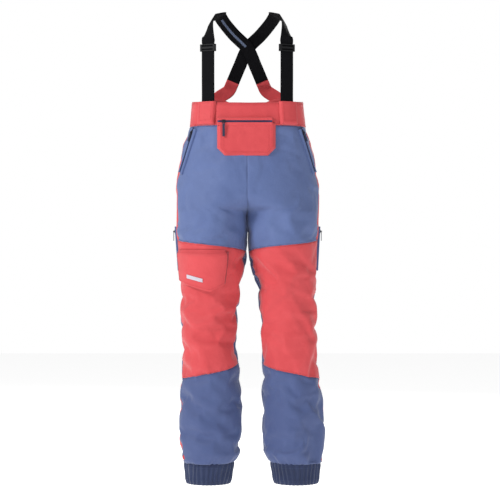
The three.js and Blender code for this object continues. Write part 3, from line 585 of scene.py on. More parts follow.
def woven_nylon(name, base, shade, light, thread=0.0016, roughness=0.62):
    """Taslan nylon, plain woven and coated inside: matt, with a soft sheen and a slightly uneven
    dye. Its threads are 0.3 mm apart, drawn at 1.6 mm so that the weave shows."""
    material, tree, shader = new_material(name)
    place = add_node(tree, "ShaderNodeTexCoord")
    dye = add_node(
        tree, "ShaderNodeTexNoise",
        {"Vector": place.outputs["Object"], "Scale": 14.0, "Detail": 5.0, "Roughness": 0.6},
    )
    tone = add_node(tree, "ShaderNodeValToRGB", {"Fac": dye.outputs["Fac"]})
    tone.color_ramp.elements[0].position, tone.color_ramp.elements[0].color = 0.3, linear(shade)
    tone.color_ramp.elements[1].position, tone.color_ramp.elements[1].color = 0.72, linear(light)
    middle = tone.color_ramp.elements.new(0.5)
    middle.color = linear(base)
    weave = crossed_waves(tree, place, thread, thread, Distortion=0.6, Detail=1.0)
    threads = add_node(
        tree, "ShaderNodeMapRange", {"Value": weave.outputs[0], "To Min": 0.93, "To Max": 1.04},
    )
    coloured = add_node(
        tree, "ShaderNodeVectorMath", {0: tone.outputs["Color"], 1: threads.outputs["Result"]},
        operation="MULTIPLY",
    )
    tree.links.new(coloured.outputs["Vector"], shader.inputs["Base Color"])
    crinkle = add_node(
        tree, "ShaderNodeTexNoise",
        {"Vector": place.outputs["Object"], "Scale": 62.0, "Detail": 4.0, "Roughness": 0.55},
    )
    soft = add_node(
        tree, "ShaderNodeBump", {"Height": crinkle.outputs["Fac"], "Strength": 0.55, "Distance": 0.0022},
    )
    fine = add_node(
        tree, "ShaderNodeBump",
        {
            "Height": weave.outputs[0], "Strength": 0.35, "Distance": 0.0003,
            "Normal": soft.outputs["Normal"],
        },
    )
    tree.links.new(fine.outputs["Normal"], shader.inputs["Normal"])
    shader.inputs["Roughness"].default_value = roughness
    shader.inputs["Sheen Weight"].default_value = 0.18
    shader.inputs["Sheen Roughness"].default_value = 0.5
    shader.inputs["Specular IOR Level"].default_value = 0.32
    return material


coral_nylon = woven_nylon("coral_nylon", "#D4494E", "#CF454A", "#D94E53")
blue_nylon = woven_nylon("blue_nylon", "#5A6C9C", "#566898", "#5F71A1")
slate_nylon = woven_nylon("slate_nylon", "#4B5A88", "#475684", "#4F5F8D")
cuff_nylon = woven_nylon("cuff_nylon", "#222F52", "#1E2A4A", "#29375C")
navy_nylon = woven_nylon("navy_nylon", "#2A3A6A", "#243260", "#30427A")
lining = woven_nylon("taffeta_lining", "#3A4566", "#343F5E", "#414D70", roughness=0.45)


def thread_material(name, colour):
    """Spun polyester sewing thread: matt, with the twist as a fine ripple along it."""
    material, tree, shader = new_material(name)
    place = add_node(tree, "ShaderNodeTexCoord")
    twist = add_node(tree, "ShaderNodeTexNoise", {"Vector": place.outputs["Object"], "Scale": 900.0})
    ramp = add_node(
        tree, "ShaderNodeMix",
        {
            "Factor": twist.outputs["Fac"], 6: linear(colour),
            7: tuple(c * 0.72 for c in linear(colour)[:3]) + (1,),
        },
        data_type="RGBA",
    )
    tree.links.new(ramp.outputs[2], shader.inputs["Base Color"])
    shader.inputs["Roughness"].default_value = 0.7
    return material


coral_thread = thread_material("coral_thread", "#C43E44")
blue_thread = thread_material("blue_thread", "#46588A")
dark_thread = thread_material("dark_thread", "#24242C")


def sheet_object(
    name, grid, material, thick=0.0016, wrap=False, finer=1, groove=0.0011, cut=None, out=None, inside=None,
):
    """A piece of cloth from a grid of points (rows, columns), with its edges turned in at the seams
    and its own thickness inwards. Its UV map is in metres. out is the way it faces, cut its shape
    before it hung and inside its lining. Returns the piece, its flat size and its flat area."""
    rows, columns = grid.shape[:2]
    across = np.linalg.norm(np.diff(grid, axis=1), axis=2).mean(axis=0)
    upward = np.linalg.norm(np.diff(grid, axis=0), axis=2).mean(axis=1)
    u = np.concatenate([[0], np.cumsum(across)])
    v = np.concatenate([[0], np.cumsum(upward)])
    count = columns - 1 if wrap else columns
    quads, loops = [], []
    for j in range(rows - 1):
        for i in range(columns - 1):
            k = (i + 1) % count
            quads.append((j * count + i, j * count + k, (j + 1) * count + k, (j + 1) * count + i))
            loops += [(u[i], v[j]), (u[i + 1], v[j]), (u[i + 1], v[j + 1]), (u[i], v[j + 1])]
    obj = new_object(name, grid[:, :count].reshape(-1, 3), quads)
    layer = obj.data.uv_layers.new(name="cloth")
    layer.data.foreach_set("uv", np.array(loops).ravel())
    if groove:
        normal = normals_of(obj) if out is None else out.reshape(-1, 3)
        points = grid[:, :count].reshape(-1, 3).copy()
        edge = np.zeros((rows, count), bool)
        edge[0] = edge[-1] = True
        if not wrap:
            edge[:, 0] = edge[:, -1] = True
        points -= normal * (edge.reshape(-1, 1) * groove)
        obj.data.vertices.foreach_set("co", points.ravel())
        obj.data.update()
    obj.data.materials.append(material)
    if inside is not None:
        obj.data.materials.append(inside)
    corners = dict(edge_crease_inner=1.0, edge_crease_outer=1.0, edge_crease_rim=1.0)
    lined = dict(material_offset=1) if inside is not None else {}
    apply_modifier(obj, "thickness", "SOLIDIFY", thickness=thick, offset=-1.0, **corners, **lined)
    if finer:
        apply_modifier(obj, "finer", "SUBSURF", levels=finer, render_levels=finer)
    flat = grid if cut is None else cut
    width = float(np.linalg.norm(np.diff(flat, axis=1), axis=2).sum(axis=1).max())
    length = float(np.linalg.norm(np.diff(flat, axis=0), axis=2).sum(axis=0).max())
    first = np.cross(flat[:-1, 1:] - flat[:-1, :-1], flat[1:, :-1] - flat[:-1, :-1])
    second = np.cross(flat[1:, 1:] - flat[:-1, 1:], flat[1:, 1:] - flat[1:, :-1])
    area = float((np.linalg.norm(first, axis=2) + np.linalg.norm(second, axis=2)).sum() / 2)
    return obj, (width, length), min(area, width * length)


def fit_sheet(made, body, slot, nodes, rests):
    """Fixes a new sheet to its body and hides the CAD pieces that it stands for."""
    obj, flat, area = made
    if body:
        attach(obj, body)
    if nodes is not None:
        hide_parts(*nodes)
    return obj


def turn_outwards(obj):
    """Turns every face of a new mesh to look outwards."""
    select_only(obj)
    bpy.ops.object.mode_set(mode="EDIT")
    bpy.ops.mesh.select_all(action="SELECT")
    bpy.ops.mesh.normals_make_consistent(inside=False)
    bpy.ops.object.mode_set(mode="OBJECT")


def stitches(name, path, normal, material, pitch=0.0036, length=0.0025, thick=0.0006):
    """A row of lockstitches lying on the cloth along a path."""
    steps = np.linalg.norm(np.diff(path, axis=0), axis=1)
    run = np.concatenate([[0], np.cumsum(steps)])
    centres = np.arange(pitch, run[-1] - pitch, pitch)
    place = np.stack([np.interp(centres, run, path[:, k]) for k in range(3)], axis=1)
    ahead = np.stack([np.interp(centres + 0.001, run, path[:, k]) for k in range(3)], axis=1)
    lean = np.stack([np.interp(centres, run, normal[:, k]) for k in range(3)], axis=1)
    t = (ahead - place) / np.linalg.norm(ahead - place, axis=1, keepdims=True)
    n = lean / np.linalg.norm(lean, axis=1, keepdims=True)
    b = np.cross(t, n)
    points, quads = [], []
    for c, tt, nn, bb in zip(place, t, n, b):
        base = len(points)
        for along, size in ((-0.5, 0.35), (-0.3, 1.0), (0.3, 1.0), (0.5, 0.35)):
            for out, way in ((0.5, 0), (0, 0.5), (-0.5, 0), (0, -0.5)):
                points.append(c + tt * along * length + (nn * out + bb * way) * thick * size)
        for k in range(3):
            for q in range(4):
                r = (q + 1) % 4
                quads.append(
                    (base + k * 4 + q, base + k * 4 + r, base + k * 4 + 4 + r, base + k * 4 + 4 + q)
                )
        quads += [(base + 3, base + 2, base + 1, base), (base + 12, base + 13, base + 14, base + 15)]
    obj = new_object(name, points, quads)
    turn_outwards(obj)
    obj.data.materials.append(material)
    return obj


# ---------------------------------------------------------------- trunk and thighs
# Blue nylon front and seat panels from the coral band down to the seam across each thigh, with a
# coral stripe let in at each side. They hang.

SIDES = (("right", 0, -1), ("left", 1, 1))
crotch, knee_row, thigh_row, band_row = (SECTION_START[k] for k in ("hip", "knee", "thigh", "band"))
STRIPE_COLUMNS = (33, 39)
SIDE_COLUMN = 36  # the column at the side seam


def follow_hip(obj):
    """Bakes a piece's placement into its mesh."""
    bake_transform(obj)


def follow_knee(obj, side):
    """Bakes a piece's placement into its mesh."""
    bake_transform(obj)


def part_of_grid(s, rows, columns):
    """A part of one half of the garment as a grid whose columns run so that its faces look out."""
    turn = slice(None) if s else slice(None, None, -1)
    block = (s, slice(rows[0], rows[1] + 1), slice(columns[0], columns[1] + 1))
    return GRID[block][:, turn], OUT[block][:, turn], CUT[block][:, turn]


def cloth_piece(name, s, rows, columns, material, slot, nodes, seams=(), thread=None, rests=()):
    """A piece cut from the garment's grid, with its rows of stitching."""
    grid, out, cut = part_of_grid(s, rows, columns)
    made = sheet_object(name, grid, material, cut=cut, out=out, inside=lining)
    obj = fit_sheet(made, None, slot, nodes, rests)
    rows_sewn = []
    for seam in seams:
        a, b = (0, 1) if seam == "foot" else (-1, -2)
        line = grid[a] * 0.62 + grid[b] * 0.38 + out[a] * 0.0002
        sewn = stitches(f"{name}_{seam}_stitching", line, out[a] * 0.62 + out[b] * 0.38, thread)
        rows_sewn.append(sewn)
    return obj, rows_sewn


for word, s, side in SIDES:
    a, b = STRIPE_COLUMNS
    for name, columns, material, slot, nodes, thread in (
        (
            f"front_shell_{word}", (0, a), blue_nylon, "blue_shell",
            (f"front_panel_{word}", f"upper_thigh_{word}"), blue_thread,
        ),
        (f"side_stripe_{word}", (a, b), coral_nylon, "coral_shell", (f"side_panel_{word}",), None),
        (
            f"seat_shell_{word}", (b, COLUMNS), blue_nylon, "blue_shell", (f"seat_panel_{word}",),
            blue_thread,
        ),
    ):
        seams = ("foot", "top") if thread else ()
        obj, sewn = cloth_piece(
            name, s, (thigh_row, band_row), columns, material, slot, nodes, seams, thread,
            ["bib_front_shell", "bib_back_shell"],
        )
        follow_hip(obj)
        for row in sewn:
            follow_hip(row)

# ---------------------------------------------------------------- legs
# Coral nylon over the front of each thigh and knee, blue behind it and below the knee, with a
# thin coral stripe down the outside of the shin.

SLIVER = 2  # columns of blue that reach round to the front at the inseam
for word, s, side in SIDES:
    front = (SLIVER, SIDE_COLUMN)
    pieces = (
        (
            f"leg_front_{word}", (knee_row, thigh_row), front, coral_nylon, "coral_shell",
            (f"thigh_front_{word}", f"knee_front_{word}"), ("foot", "top"), coral_thread,
        ),
        (f"leg_inner_{word}", (knee_row, thigh_row), (0, SLIVER), slate_nylon, "blue_shell", (), (), None),
        (
            f"leg_back_{word}", (knee_row, thigh_row), (SIDE_COLUMN, COLUMNS), slate_nylon, "blue_shell",
            (f"thigh_back_{word}", f"knee_back_{word}"), ("foot", "top"), blue_thread,
        ),
        (
            f"shin_shell_{word}", (0, knee_row), (0, SIDE_COLUMN - 1), slate_nylon, "blue_shell",
            (f"shin_front_{word}",), ("top",), blue_thread,
        ),
        (
            f"shin_stripe_{word}", (0, knee_row), (SIDE_COLUMN - 1, SIDE_COLUMN + 1), coral_nylon,
            "coral_shell", (), (), None,
        ),
        (
            f"calf_shell_{word}", (0, knee_row), (SIDE_COLUMN + 1, COLUMNS), slate_nylon, "blue_shell",
            (f"calf_back_{word}",), ("top",), blue_thread,
        ),
    )
    for name, rows, columns, material, slot, nodes, seams, thread in pieces:
        above = ("leg_front", "leg_back") if name.startswith(("shin", "calf")) else (
            "front_shell", "seat_shell",
        )
        hangs_from = [f"{upper}_{word}" for upper in above]
        obj, sewn = cloth_piece(
            name, s, rows, columns, material, slot, nodes, seams, thread, hangs_from,
        )
        follow_knee(obj, side)
        for row in sewn:
            follow_knee(row, side)

# ---------------------------------------------------------------- cuffs
# Each leg ends in a blue nylon cuff over wide elastic, which gathers it into upright pleats.

GATHERS = 31
CUFF_ACROSS, CUFF_UP = 240, 14
for word, s, side in SIDES:
    lap = np.linspace(0, 1, CUFF_ACROSS + 1)
    if not s:
        lap = lap[::-1]
    climb = np.linspace(0, 1, CUFF_UP + 1)
    way, share = np.meshgrid(lap, climb)
    z = HEM + 0.0012 + share * (CUFF_TOP - HEM + 0.004)
    base = cloth_points(side, way, np.minimum(z, CUFF_TOP))
    base[..., 2] = z
    away = cloth_normals(side, way, np.clip(z, HEM + 0.004, CUFF_TOP - 0.002))
    uneven = np.array(
        [
            [
                noise.noise(
                    Vector((math.cos(w * math.tau) * 2, math.sin(w * math.tau) * 2, c * 0.8 + s * 9))
                )
                for w in lap
            ]
            for c in climb
        ]
    )
    pleat = np.cos(way * math.tau * GATHERS + uneven * 4.5)
    pinch = np.sin(np.pi * np.clip(share, 0.02, 0.98)) ** 0.4
    puff = 0.0022 * np.sin(np.pi * share) + 0.0008 * np.sin(np.pi * share * 3)
    lift = puff + pleat * (0.0010 + 0.0014 * pinch) * (0.75 + 0.5 * uneven)
    grid = base + away * lift[..., None]
    grid[:, -1] = grid[:, 0]
    made = sheet_object(f"cuff_shell_{word}", grid, cuff_nylon, wrap=True, groove=0.0, thick=0.0014)
    fit_sheet(made, f"shin_{word}", "blue_shell", [f"cuff_{word}"], [f"shin_shell_{word}"])
    for mark in (0.22, 0.78):
        j = int(round(mark * CUFF_UP))
        sewn = stitches(f"cuff_{word}_stitching_{j}", grid[j] + away[j] * 0.0004, away[j], blue_thread)
        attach(sewn, f"shin_{word}")

# ---------------------------------------------------------------- bib band
# A stiffened band of coral nylon closes the top, in a front and a back piece, with two rows of
# topstitching below its edge.

for half, name in enumerate(("bib_front", "bib_back")):
    spread = (0, SIDE_COLUMN) if half == 0 else (SIDE_COLUMN, COLUMNS)
    parts = [part_of_grid(s, (band_row, ROWS), spread) for s in (0, 1)]
    order = (0, 1) if half == 0 else (1, 0)
    grid, out = (np.concatenate([parts[order[0]][k], parts[order[1]][k][:, 1:]], axis=1) for k in (0, 1))
    carried_by = "brace_lower" if half == 0 else "back_tab_cloth"
    made = sheet_object(f"{name}_shell", grid, coral_nylon, thick=0.0020, out=out)
    fit_sheet(
        made, "trunk", "coral_shell", [name], [f"{carried_by}_right", f"{carried_by}_left"],
    )
    for label, a, b, mix in (("foot", 0, 1, 0.5), ("top", -1, -2, 0.5), ("second", -1, -2, 0.95)):
        line = grid[a] * (1 - mix) + grid[b] * mix + out[a] * 0.0003
        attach(stitches(f"{name}_{label}_stitching", line, out[a], coral_thread), "trunk")

# ---------------------------------------------------------------- chest pocket
# A patch of coral nylon with two cut corners, topstitched to the front of the bib along its sides
# and foot. It stands a little off the cloth, and is closed by a zip along its top.


def smooth(a, b, value):
    """0 below a, 1 above b and a smooth step between."""
    t = np.clip((value - a) / (b - a), 0, 1)
    return t * t * (3 - 2 * t)


def cloth_front(x, z):
    """How far forward the trunk's cloth is at these places in the front view."""
    x, z = np.broadcast_arrays(x, z)
    found = np.zeros(x.shape)
    for k in np.ndindex(x.shape[0]):
        way = np.linspace(0, 0.42, 60)
        line = cloth_points(1, way, np.full(60, z[k].mean()))
        mirrored = cloth_points(-1, way, np.full(60, z[k].mean()))
        xs = np.concatenate([mirrored[::-1, 0], line[1:, 0]])
        ys = np.concatenate([mirrored[::-1, 1], line[1:, 1]])
        found[k] = np.interp(x[k], xs, ys)
    return found


def soft_noise(points, size, seed):
    """Smooth noise over a whole grid of points."""
    return smooth_noise(points.reshape(-1, 3), size, seed).reshape(points.shape[:-1])


POCKET_LOW, POCKET_HIGH = (np.array(c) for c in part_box("chest_pocket"))
POCKET_CORNER = 0.022
POCKET_LEAN = 0.0522
rows, columns = 26, 44
share_z, share_x = np.meshgrid(np.linspace(0, 1, rows), np.linspace(0, 1, columns), indexing="ij")
pocket_z = POCKET_LOW[2] + (POCKET_HIGH[2] - POCKET_LOW[2]) * share_z
cut_in = np.clip(POCKET_CORNER - (pocket_z - POCKET_LOW[2]), 0, None)
pocket_x = POCKET_LOW[0] + cut_in + (POCKET_HIGH[0] - POCKET_LOW[0] - 2 * cut_in) * share_x
face_y = POCKET_LOW[1] + (pocket_z - POCKET_LOW[2]) * POCKET_LEAN
behind_y = cloth_front(pocket_x, pocket_z) - 0.0004
edge = np.minimum(
    np.minimum(pocket_x - (POCKET_LOW[0] + cut_in), POCKET_HIGH[0] - cut_in - pocket_x),
    pocket_z - POCKET_LOW[2],
)
raised = smooth(0.0, 0.0075, edge)
grid = np.stack([pocket_x, behind_y + (face_y - behind_y) * raised, pocket_z], axis=-1)
grid[..., 1] -= raised * (
    0.0006 + 0.0010 * soft_noise(grid, 0.022, 5.0) + 0.0008 * np.sin(np.pi * share_x) * (1 - share_z)
)
made = sheet_object("chest_pocket_patch", grid, coral_nylon, groove=0.0)
fit_sheet(
    made, "trunk", "coral_shell", ["chest_pocket"],
    ["bib_front_shell", "front_shell_right", "front_shell_left"],
)
forward = np.array([0.0, -1.0, 0.0])
for label, inset in (("outer", 3), ("inner", 5)):
    path = np.concatenate(
        [
            grid[::-1, inset][:-inset // 2], grid[inset // 2 + 1, inset:-inset],
            grid[:, -inset - 1][inset // 2 + 2:],
        ]
    )
    path = path + forward * 0.0003
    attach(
        stitches(f"chest_pocket_{label}_stitching", path, np.tile(forward, (len(path), 1)), coral_thread),
        "trunk",
    )

# ---------------------------------------------------------------- zips
# Nylon coil zips on woven tape: one over the chest pocket, one at each hand pocket and one in the
# vent at the outside of each thigh. The coil is moulded monofilament, and the sliders cast zinc.


def smooth_plastic(name, colour, roughness):
    """Nylon or acetal, drawn or moulded: smooth, with a fine grain and a plastic shine."""
    material, tree, shader = new_material(name)
    place = add_node(tree, "ShaderNodeTexCoord")
    grain = add_node(
        tree, "ShaderNodeTexNoise", {"Vector": place.outputs["Object"], "Scale": 400.0, "Detail": 3.0},
    )
    tone = add_node(
        tree, "ShaderNodeMix",
        {
            "Factor": grain.outputs["Fac"], 6: linear(colour),
            7: tuple(c * 1.35 for c in linear(colour)[:3]) + (1,),
        },
        data_type="RGBA",
    )
    bump = add_node(
        tree, "ShaderNodeBump", {"Height": grain.outputs["Fac"], "Strength": 0.2, "Distance": 0.0002},
    )
    tree.links.new(tone.outputs[2], shader.inputs["Base Color"])
    tree.links.new(bump.outputs["Normal"], shader.inputs["Normal"])
    shader.inputs["Roughness"].default_value = roughness
    return material


def lacquered_zinc(name, colour):
    """Die-cast zinc under a dark lacquer: it shines, and is a little worn and dusty in its grain."""
    material = smooth_plastic(name, colour, 0.34)
    shader = material.node_tree.nodes["Principled BSDF"]
    shader.inputs["Metallic"].default_value = 0.75
    shader.inputs["Coat Weight"].default_value = 0.4
    return material


zip_coil = smooth_plastic("nylon_coil", "#1C2547", 0.42)
zinc = lacquered_zinc("lacquered_zinc", "#33333B")
pull_tape = smooth_plastic("moulded_pull", "#20263F", 0.55)


def repaint(node, material):
    """Gives a CAD piece that stays in view its material."""
    mesh = bpy.data.objects[node].data
    mesh.materials.clear()
    mesh.materials.append(material)


def axes_of(node, outward):
    """The middle of a straight CAD piece, its length, and its directions along, across and out."""
    points = np.array([v.co for v in bpy.data.objects[node].data.vertices])
    points = np.unique(np.round(points, 6), axis=0)
    low, high = points.min(axis=0), points.max(axis=0)
    _, _, found = np.linalg.svd(points - points.mean(axis=0), full_matrices=False)
    along, across, out = found
    if out @ np.array(outward) < 0:
        out = -out
    if along[2] > 0.05 or (abs(along[2]) <= 0.05 and along[0] < 0):
        along = -along
    across = np.cross(out, along)
    spans = [((points @ d).min(), (points @ d).max()) for d in (along, across, out)]
    middle = along * sum(spans[0]) / 2 + across * sum(spans[1]) / 2 + out * spans[2][0]
    return middle, spans[0][1] - spans[0][0], along, across, out


TAPE_WIDTH, TAPE_THICK, COIL_HEIGHT = 0.016, 0.0008, 0.0016
TOOTH_PITCH = 0.0019
TURNED_IN = 0.0085
TOOTH_REACH, TOOTH_ROUND = 0.0019, 0.0007
for name, body, outward, behind, welt_cloth, near, welt_width in (
    ("chest", "trunk", (0, -1, 0), ("chest_pocket_patch",), coral_nylon, 0.0026, 0.0094),
    ("hand_right", "trunk", (-1, -0.6, 0), ("front_shell_right",), blue_nylon, 0.0034, 0.0078),
    ("hand_left", "trunk", (1, -0.6, 0), ("front_shell_left",), blue_nylon, 0.0034, 0.0078),
    (
        "vent_right", "thigh_right", (-1, 0, 0), ("leg_front_right", "leg_back_right"), slate_nylon, 0.0034,
        0.0078,
    ),
    (
        "vent_left", "thigh_left", (1, 0, 0), ("leg_front_left", "leg_back_left"), slate_nylon, 0.0034,
        0.0078,
    ),
):
    middle, length, along, across, out = axes_of(f"{name}_zip", outward)
    step = np.linspace(-0.5, 0.5, 25)[:, None, None] * length
    wide_way = np.linspace(0.5, -0.5, 9)[None, :, None] * TAPE_WIDTH
    arch = 1 - (np.abs(np.linspace(-1, 1, 9)) ** 3)[None, :, None]
    grid = middle + along * step + across * wide_way + out * (0.0003 + TAPE_THICK * arch)
    if np.cross(grid[0, 1] - grid[0, 0], grid[1, 0] - grid[0, 0]) @ out < 0:
        grid = grid[:, ::-1]
    made = sheet_object(f"{name}_zip_tape", grid, navy_nylon, thick=0.0007, groove=0.0, finer=0)
    fit_sheet(made, body, "navy_zip_tape", [f"{name}_zip"], list(behind))
    # a folded welt along each side of the zip, turned in until it meets the cloth
    for turn, edge in ((-1, "one"), (1, "two")):
        section = (
            (near, 0.0014), (near + 0.0004, 0.0030), (near + welt_width * 0.5, 0.0029),
            (near + welt_width * 0.9, 0.0014), (near + welt_width, -0.003),
            (near + welt_width * 0.96, -TURNED_IN),
        )
        reach = np.linspace(-0.5, 0.5, 25)[:, None] * (length + 0.003)
        welt = np.stack([middle + along * reach + across * turn * w + out * h for w, h in section], axis=1)
        if np.cross(welt[0, 2] - welt[0, 1], welt[1, 1] - welt[0, 1]) @ out < 0:
            welt = welt[:, ::-1]
        made = sheet_object(f"{name}_zip_welt_{edge}", welt, welt_cloth, thick=0.0009, groove=0.0)
        fit_sheet(
            made, body, "coral_shell" if name == "chest" else "blue_shell", None, list(behind),
        )
    points, quads = [], []
    places = np.arange(-length / 2 + 0.005, length / 2 - 0.005, TOOTH_PITCH)
    for k, at in enumerate(places):
        lean = 0.0007 if k % 2 else -0.0007
        centre = middle + along * at + across * lean + out * (TAPE_THICK + COIL_HEIGHT / 2)
        base = len(points)
        ring = 6
        for end, size in ((-1, 0.55), (-0.55, 1.0), (0.55, 1.0), (1, 0.55)):
            for q in range(ring):
                a = math.tau * q / ring
                points.append(
                    centre + across * end * TOOTH_REACH
                    + (along * math.cos(a) * TOOTH_ROUND + out * math.sin(a) * COIL_HEIGHT * 0.5) * size
                )
        for j in range(3):
            for q in range(ring):
                r = (q + 1) % ring
                quads.append(
                    (
                        base + j * ring + q, base + j * ring + r, base + (j + 1) * ring + r,
                        base + (j + 1) * ring + q,
                    )
                )
        quads += [
            tuple(base + q for q in reversed(range(ring))), tuple(base + 3 * ring + q for q in range(ring)),
        ]
    teeth = new_object(f"{name}_zip_coil", points, quads)
    turn_outwards(teeth)
    teeth.data.materials.append(zip_coil)
    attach(teeth, body)
    for part, finish in (("slider", zinc), ("pull", pull_tape)):
        repaint(f"{name}_{part}", finish)

# ---------------------------------------------------------------- cargo pocket
# A bellows pocket of coral nylon on the outside of the wearer's right thigh. Its flap is sewn along
# the top, hangs to a blunt point, and has a plain woven badge near its foot.

CARGO_WAY, GUSSET_WAY = (0.20, 0.43), (0.170, 0.190)
CARGO_FOOT, CARGO_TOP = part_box("cargo_pocket")[0][2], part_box("cargo_flap")[1][2]
rows, columns = 26, 34


def flatter(way):
    """How far the pocket stands off the leg there: less towards the side seam."""
    return 1 - 0.62 * smooth(0.30, 0.42, way)


def on_cargo(way, z, lift):
    """Points this far off the cloth of the right leg."""
    return cloth_points(-1, way, z) + cloth_normals(-1, way, z) * lift[..., None]


share_z, share_w = np.meshgrid(np.linspace(0, 1, rows), np.linspace(0, 1, columns), indexing="ij")
way = CARGO_WAY[1] + (CARGO_WAY[0] - CARGO_WAY[1]) * share_w
bag_top = CARGO_TOP - 0.012
z = CARGO_FOOT + (bag_top - CARGO_FOOT) * share_z
edge = np.minimum(np.minimum(share_w, 1 - share_w) * 0.115, share_z * (bag_top - CARGO_FOOT))
lift = 0.0012 + 0.0108 * smooth(0, 0.011, edge) * flatter(way)
grid = on_cargo(way, z, lift)
grid += cloth_normals(-1, way, z) * (0.0010 * soft_noise(grid, 0.02, 8.0))[..., None]
made = sheet_object("cargo_pocket_bag", grid, coral_nylon, groove=0.0)
fit_sheet(made, "thigh_right", "coral_shell", ["cargo_pocket"], ["leg_front_right"])

# the folded side of the bellows, in coral darkened as painted shade, which shows as a dark edge in front of
# the flap
fold_way, fold_z = np.meshgrid(
    np.linspace(*GUSSET_WAY, 6), np.linspace(CARGO_FOOT + 0.006, CARGO_TOP - 0.006, 20),
)
fold_lift = np.broadcast_to(np.array([0.0010, 0.0022, 0.0046, 0.0076, 0.0104, 0.0118]), fold_way.shape)
grid = on_cargo(fold_way, fold_z, fold_lift)[:, ::-1]
# coral darkened as painted shade, for the bellows' side where it falls in shadow
painted_shade_nylon = woven_nylon("coral_nylon_gusset_painted_shade", "#A8323A", "#A03038", "#B0383E")
made = sheet_object("cargo_gusset", grid, painted_shade_nylon, thick=0.0010, groove=0.0)
fit_sheet(made, "thigh_right", "coral_shell", None, ["leg_front_right"])

FLAP_SIDE = 0.012
way = CARGO_WAY[1] + FLAP_SIDE + (CARGO_WAY[0] - CARGO_WAY[1] - 2 * FLAP_SIDE) * share_w
from_side = (way - CARGO_WAY[0]) / (CARGO_WAY[1] - CARGO_WAY[0])
POINT_AT = 0.20
flap_foot = CARGO_FOOT - 0.016 + np.where(
    from_side < POINT_AT, 0.018 * (1 - from_side / POINT_AT),
    0.030 * (from_side - POINT_AT) / (1 - POINT_AT),
)
z = CARGO_TOP + (flap_foot - CARGO_TOP) * (1 - share_z)
hang = 1 - share_z
droop = 0.0030 * hang ** 2 * np.sin(
    math.tau * (share_w * 1.3 + 0.1)
) + 0.0022 * np.exp(-(((hang - 0.62) / 0.10) ** 2)) * np.sin(np.pi * share_w)
lift = 0.0030 + (0.0126 * smooth(0, 0.16, hang) + droop) * flatter(way)
grid = on_cargo(way, z, lift)
face_out = cloth_normals(-1, way, z)
grid += face_out * (0.0009 * soft_noise(grid, 0.024, 11.0))[..., None]
flap_grid = grid
flap, flat, area = sheet_object("cargo_flap_cloth", grid, coral_nylon, thick=0.0020, groove=0.0)


def follow_flap(obj):
    """Bakes a piece's placement into its mesh."""
    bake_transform(obj)


follow_flap(flap)
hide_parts("cargo_flap")
for label, line, normal in (
    ("foot", grid[1] * 0.6 + grid[2] * 0.4, face_out[1]),
    ("top", grid[-2], face_out[-2]),
    ("top_two", grid[-3], face_out[-3]),
    ("front", grid[:, -2], face_out[:, -2]),
    ("back", grid[:, 1], face_out[:, 1]),
):
    sewn = stitches(f"cargo_flap_{label}_stitching", line + normal * 0.0004, normal, coral_thread)
    follow_flap(sewn)

# ---------------------------------------------------------------- badge
# A plain label of pale woven polyester, sewn near the foot of the flap. It is laid on the flap's
# own points, and carries no lettering.

BADGE_X = (-0.1725, -0.1262)
BADGE_TOP, BADGE_WIDE, BADGE_TALL, BADGE_FALL = 0.606, 0.0463, 0.0105, 0.012

badge_x, badge_z = np.meshgrid(np.linspace(*BADGE_X, 20), np.linspace(0, 1, 6))
badge_height = HEM + BADGE_TOP - BADGE_FALL * (
    badge_x - BADGE_X[0]
) / BADGE_WIDE - BADGE_TALL * (1 - badge_z)
flat_points = flap_grid.reshape(-1, 3)
badge_points = []
for x, z in zip(badge_x.ravel(), badge_height.ravel()):
    gap = (flat_points[:, 0] - x) ** 2 + (flat_points[:, 2] - z) ** 2
    near = np.argsort(gap)[:4]
    weight = 1 / (gap[near] + 1e-9)
    badge_points.append((x, float((flat_points[near, 1] * weight).sum() / weight.sum()), z))
grid = np.array(badge_points).reshape(badge_x.shape + (3,))
grid += np.array([-0.42, -0.9, 0]) * 0.0016
badge_weave = woven_nylon("woven_label", "#C9C2CE", "#BDB6C6", "#D6CFD8", thread=0.0011)
badge, flat, area = sheet_object("flap_badge", grid, badge_weave, thick=0.0009, groove=0.0)
follow_flap(badge)

# ---------------------------------------------------------------- braces
# Black ribbed elastic webbing, 38 mm wide. Each brace runs doubled from the bib to its adjuster,
# then over the shoulder, across the back, and into a coral tab on the back band.


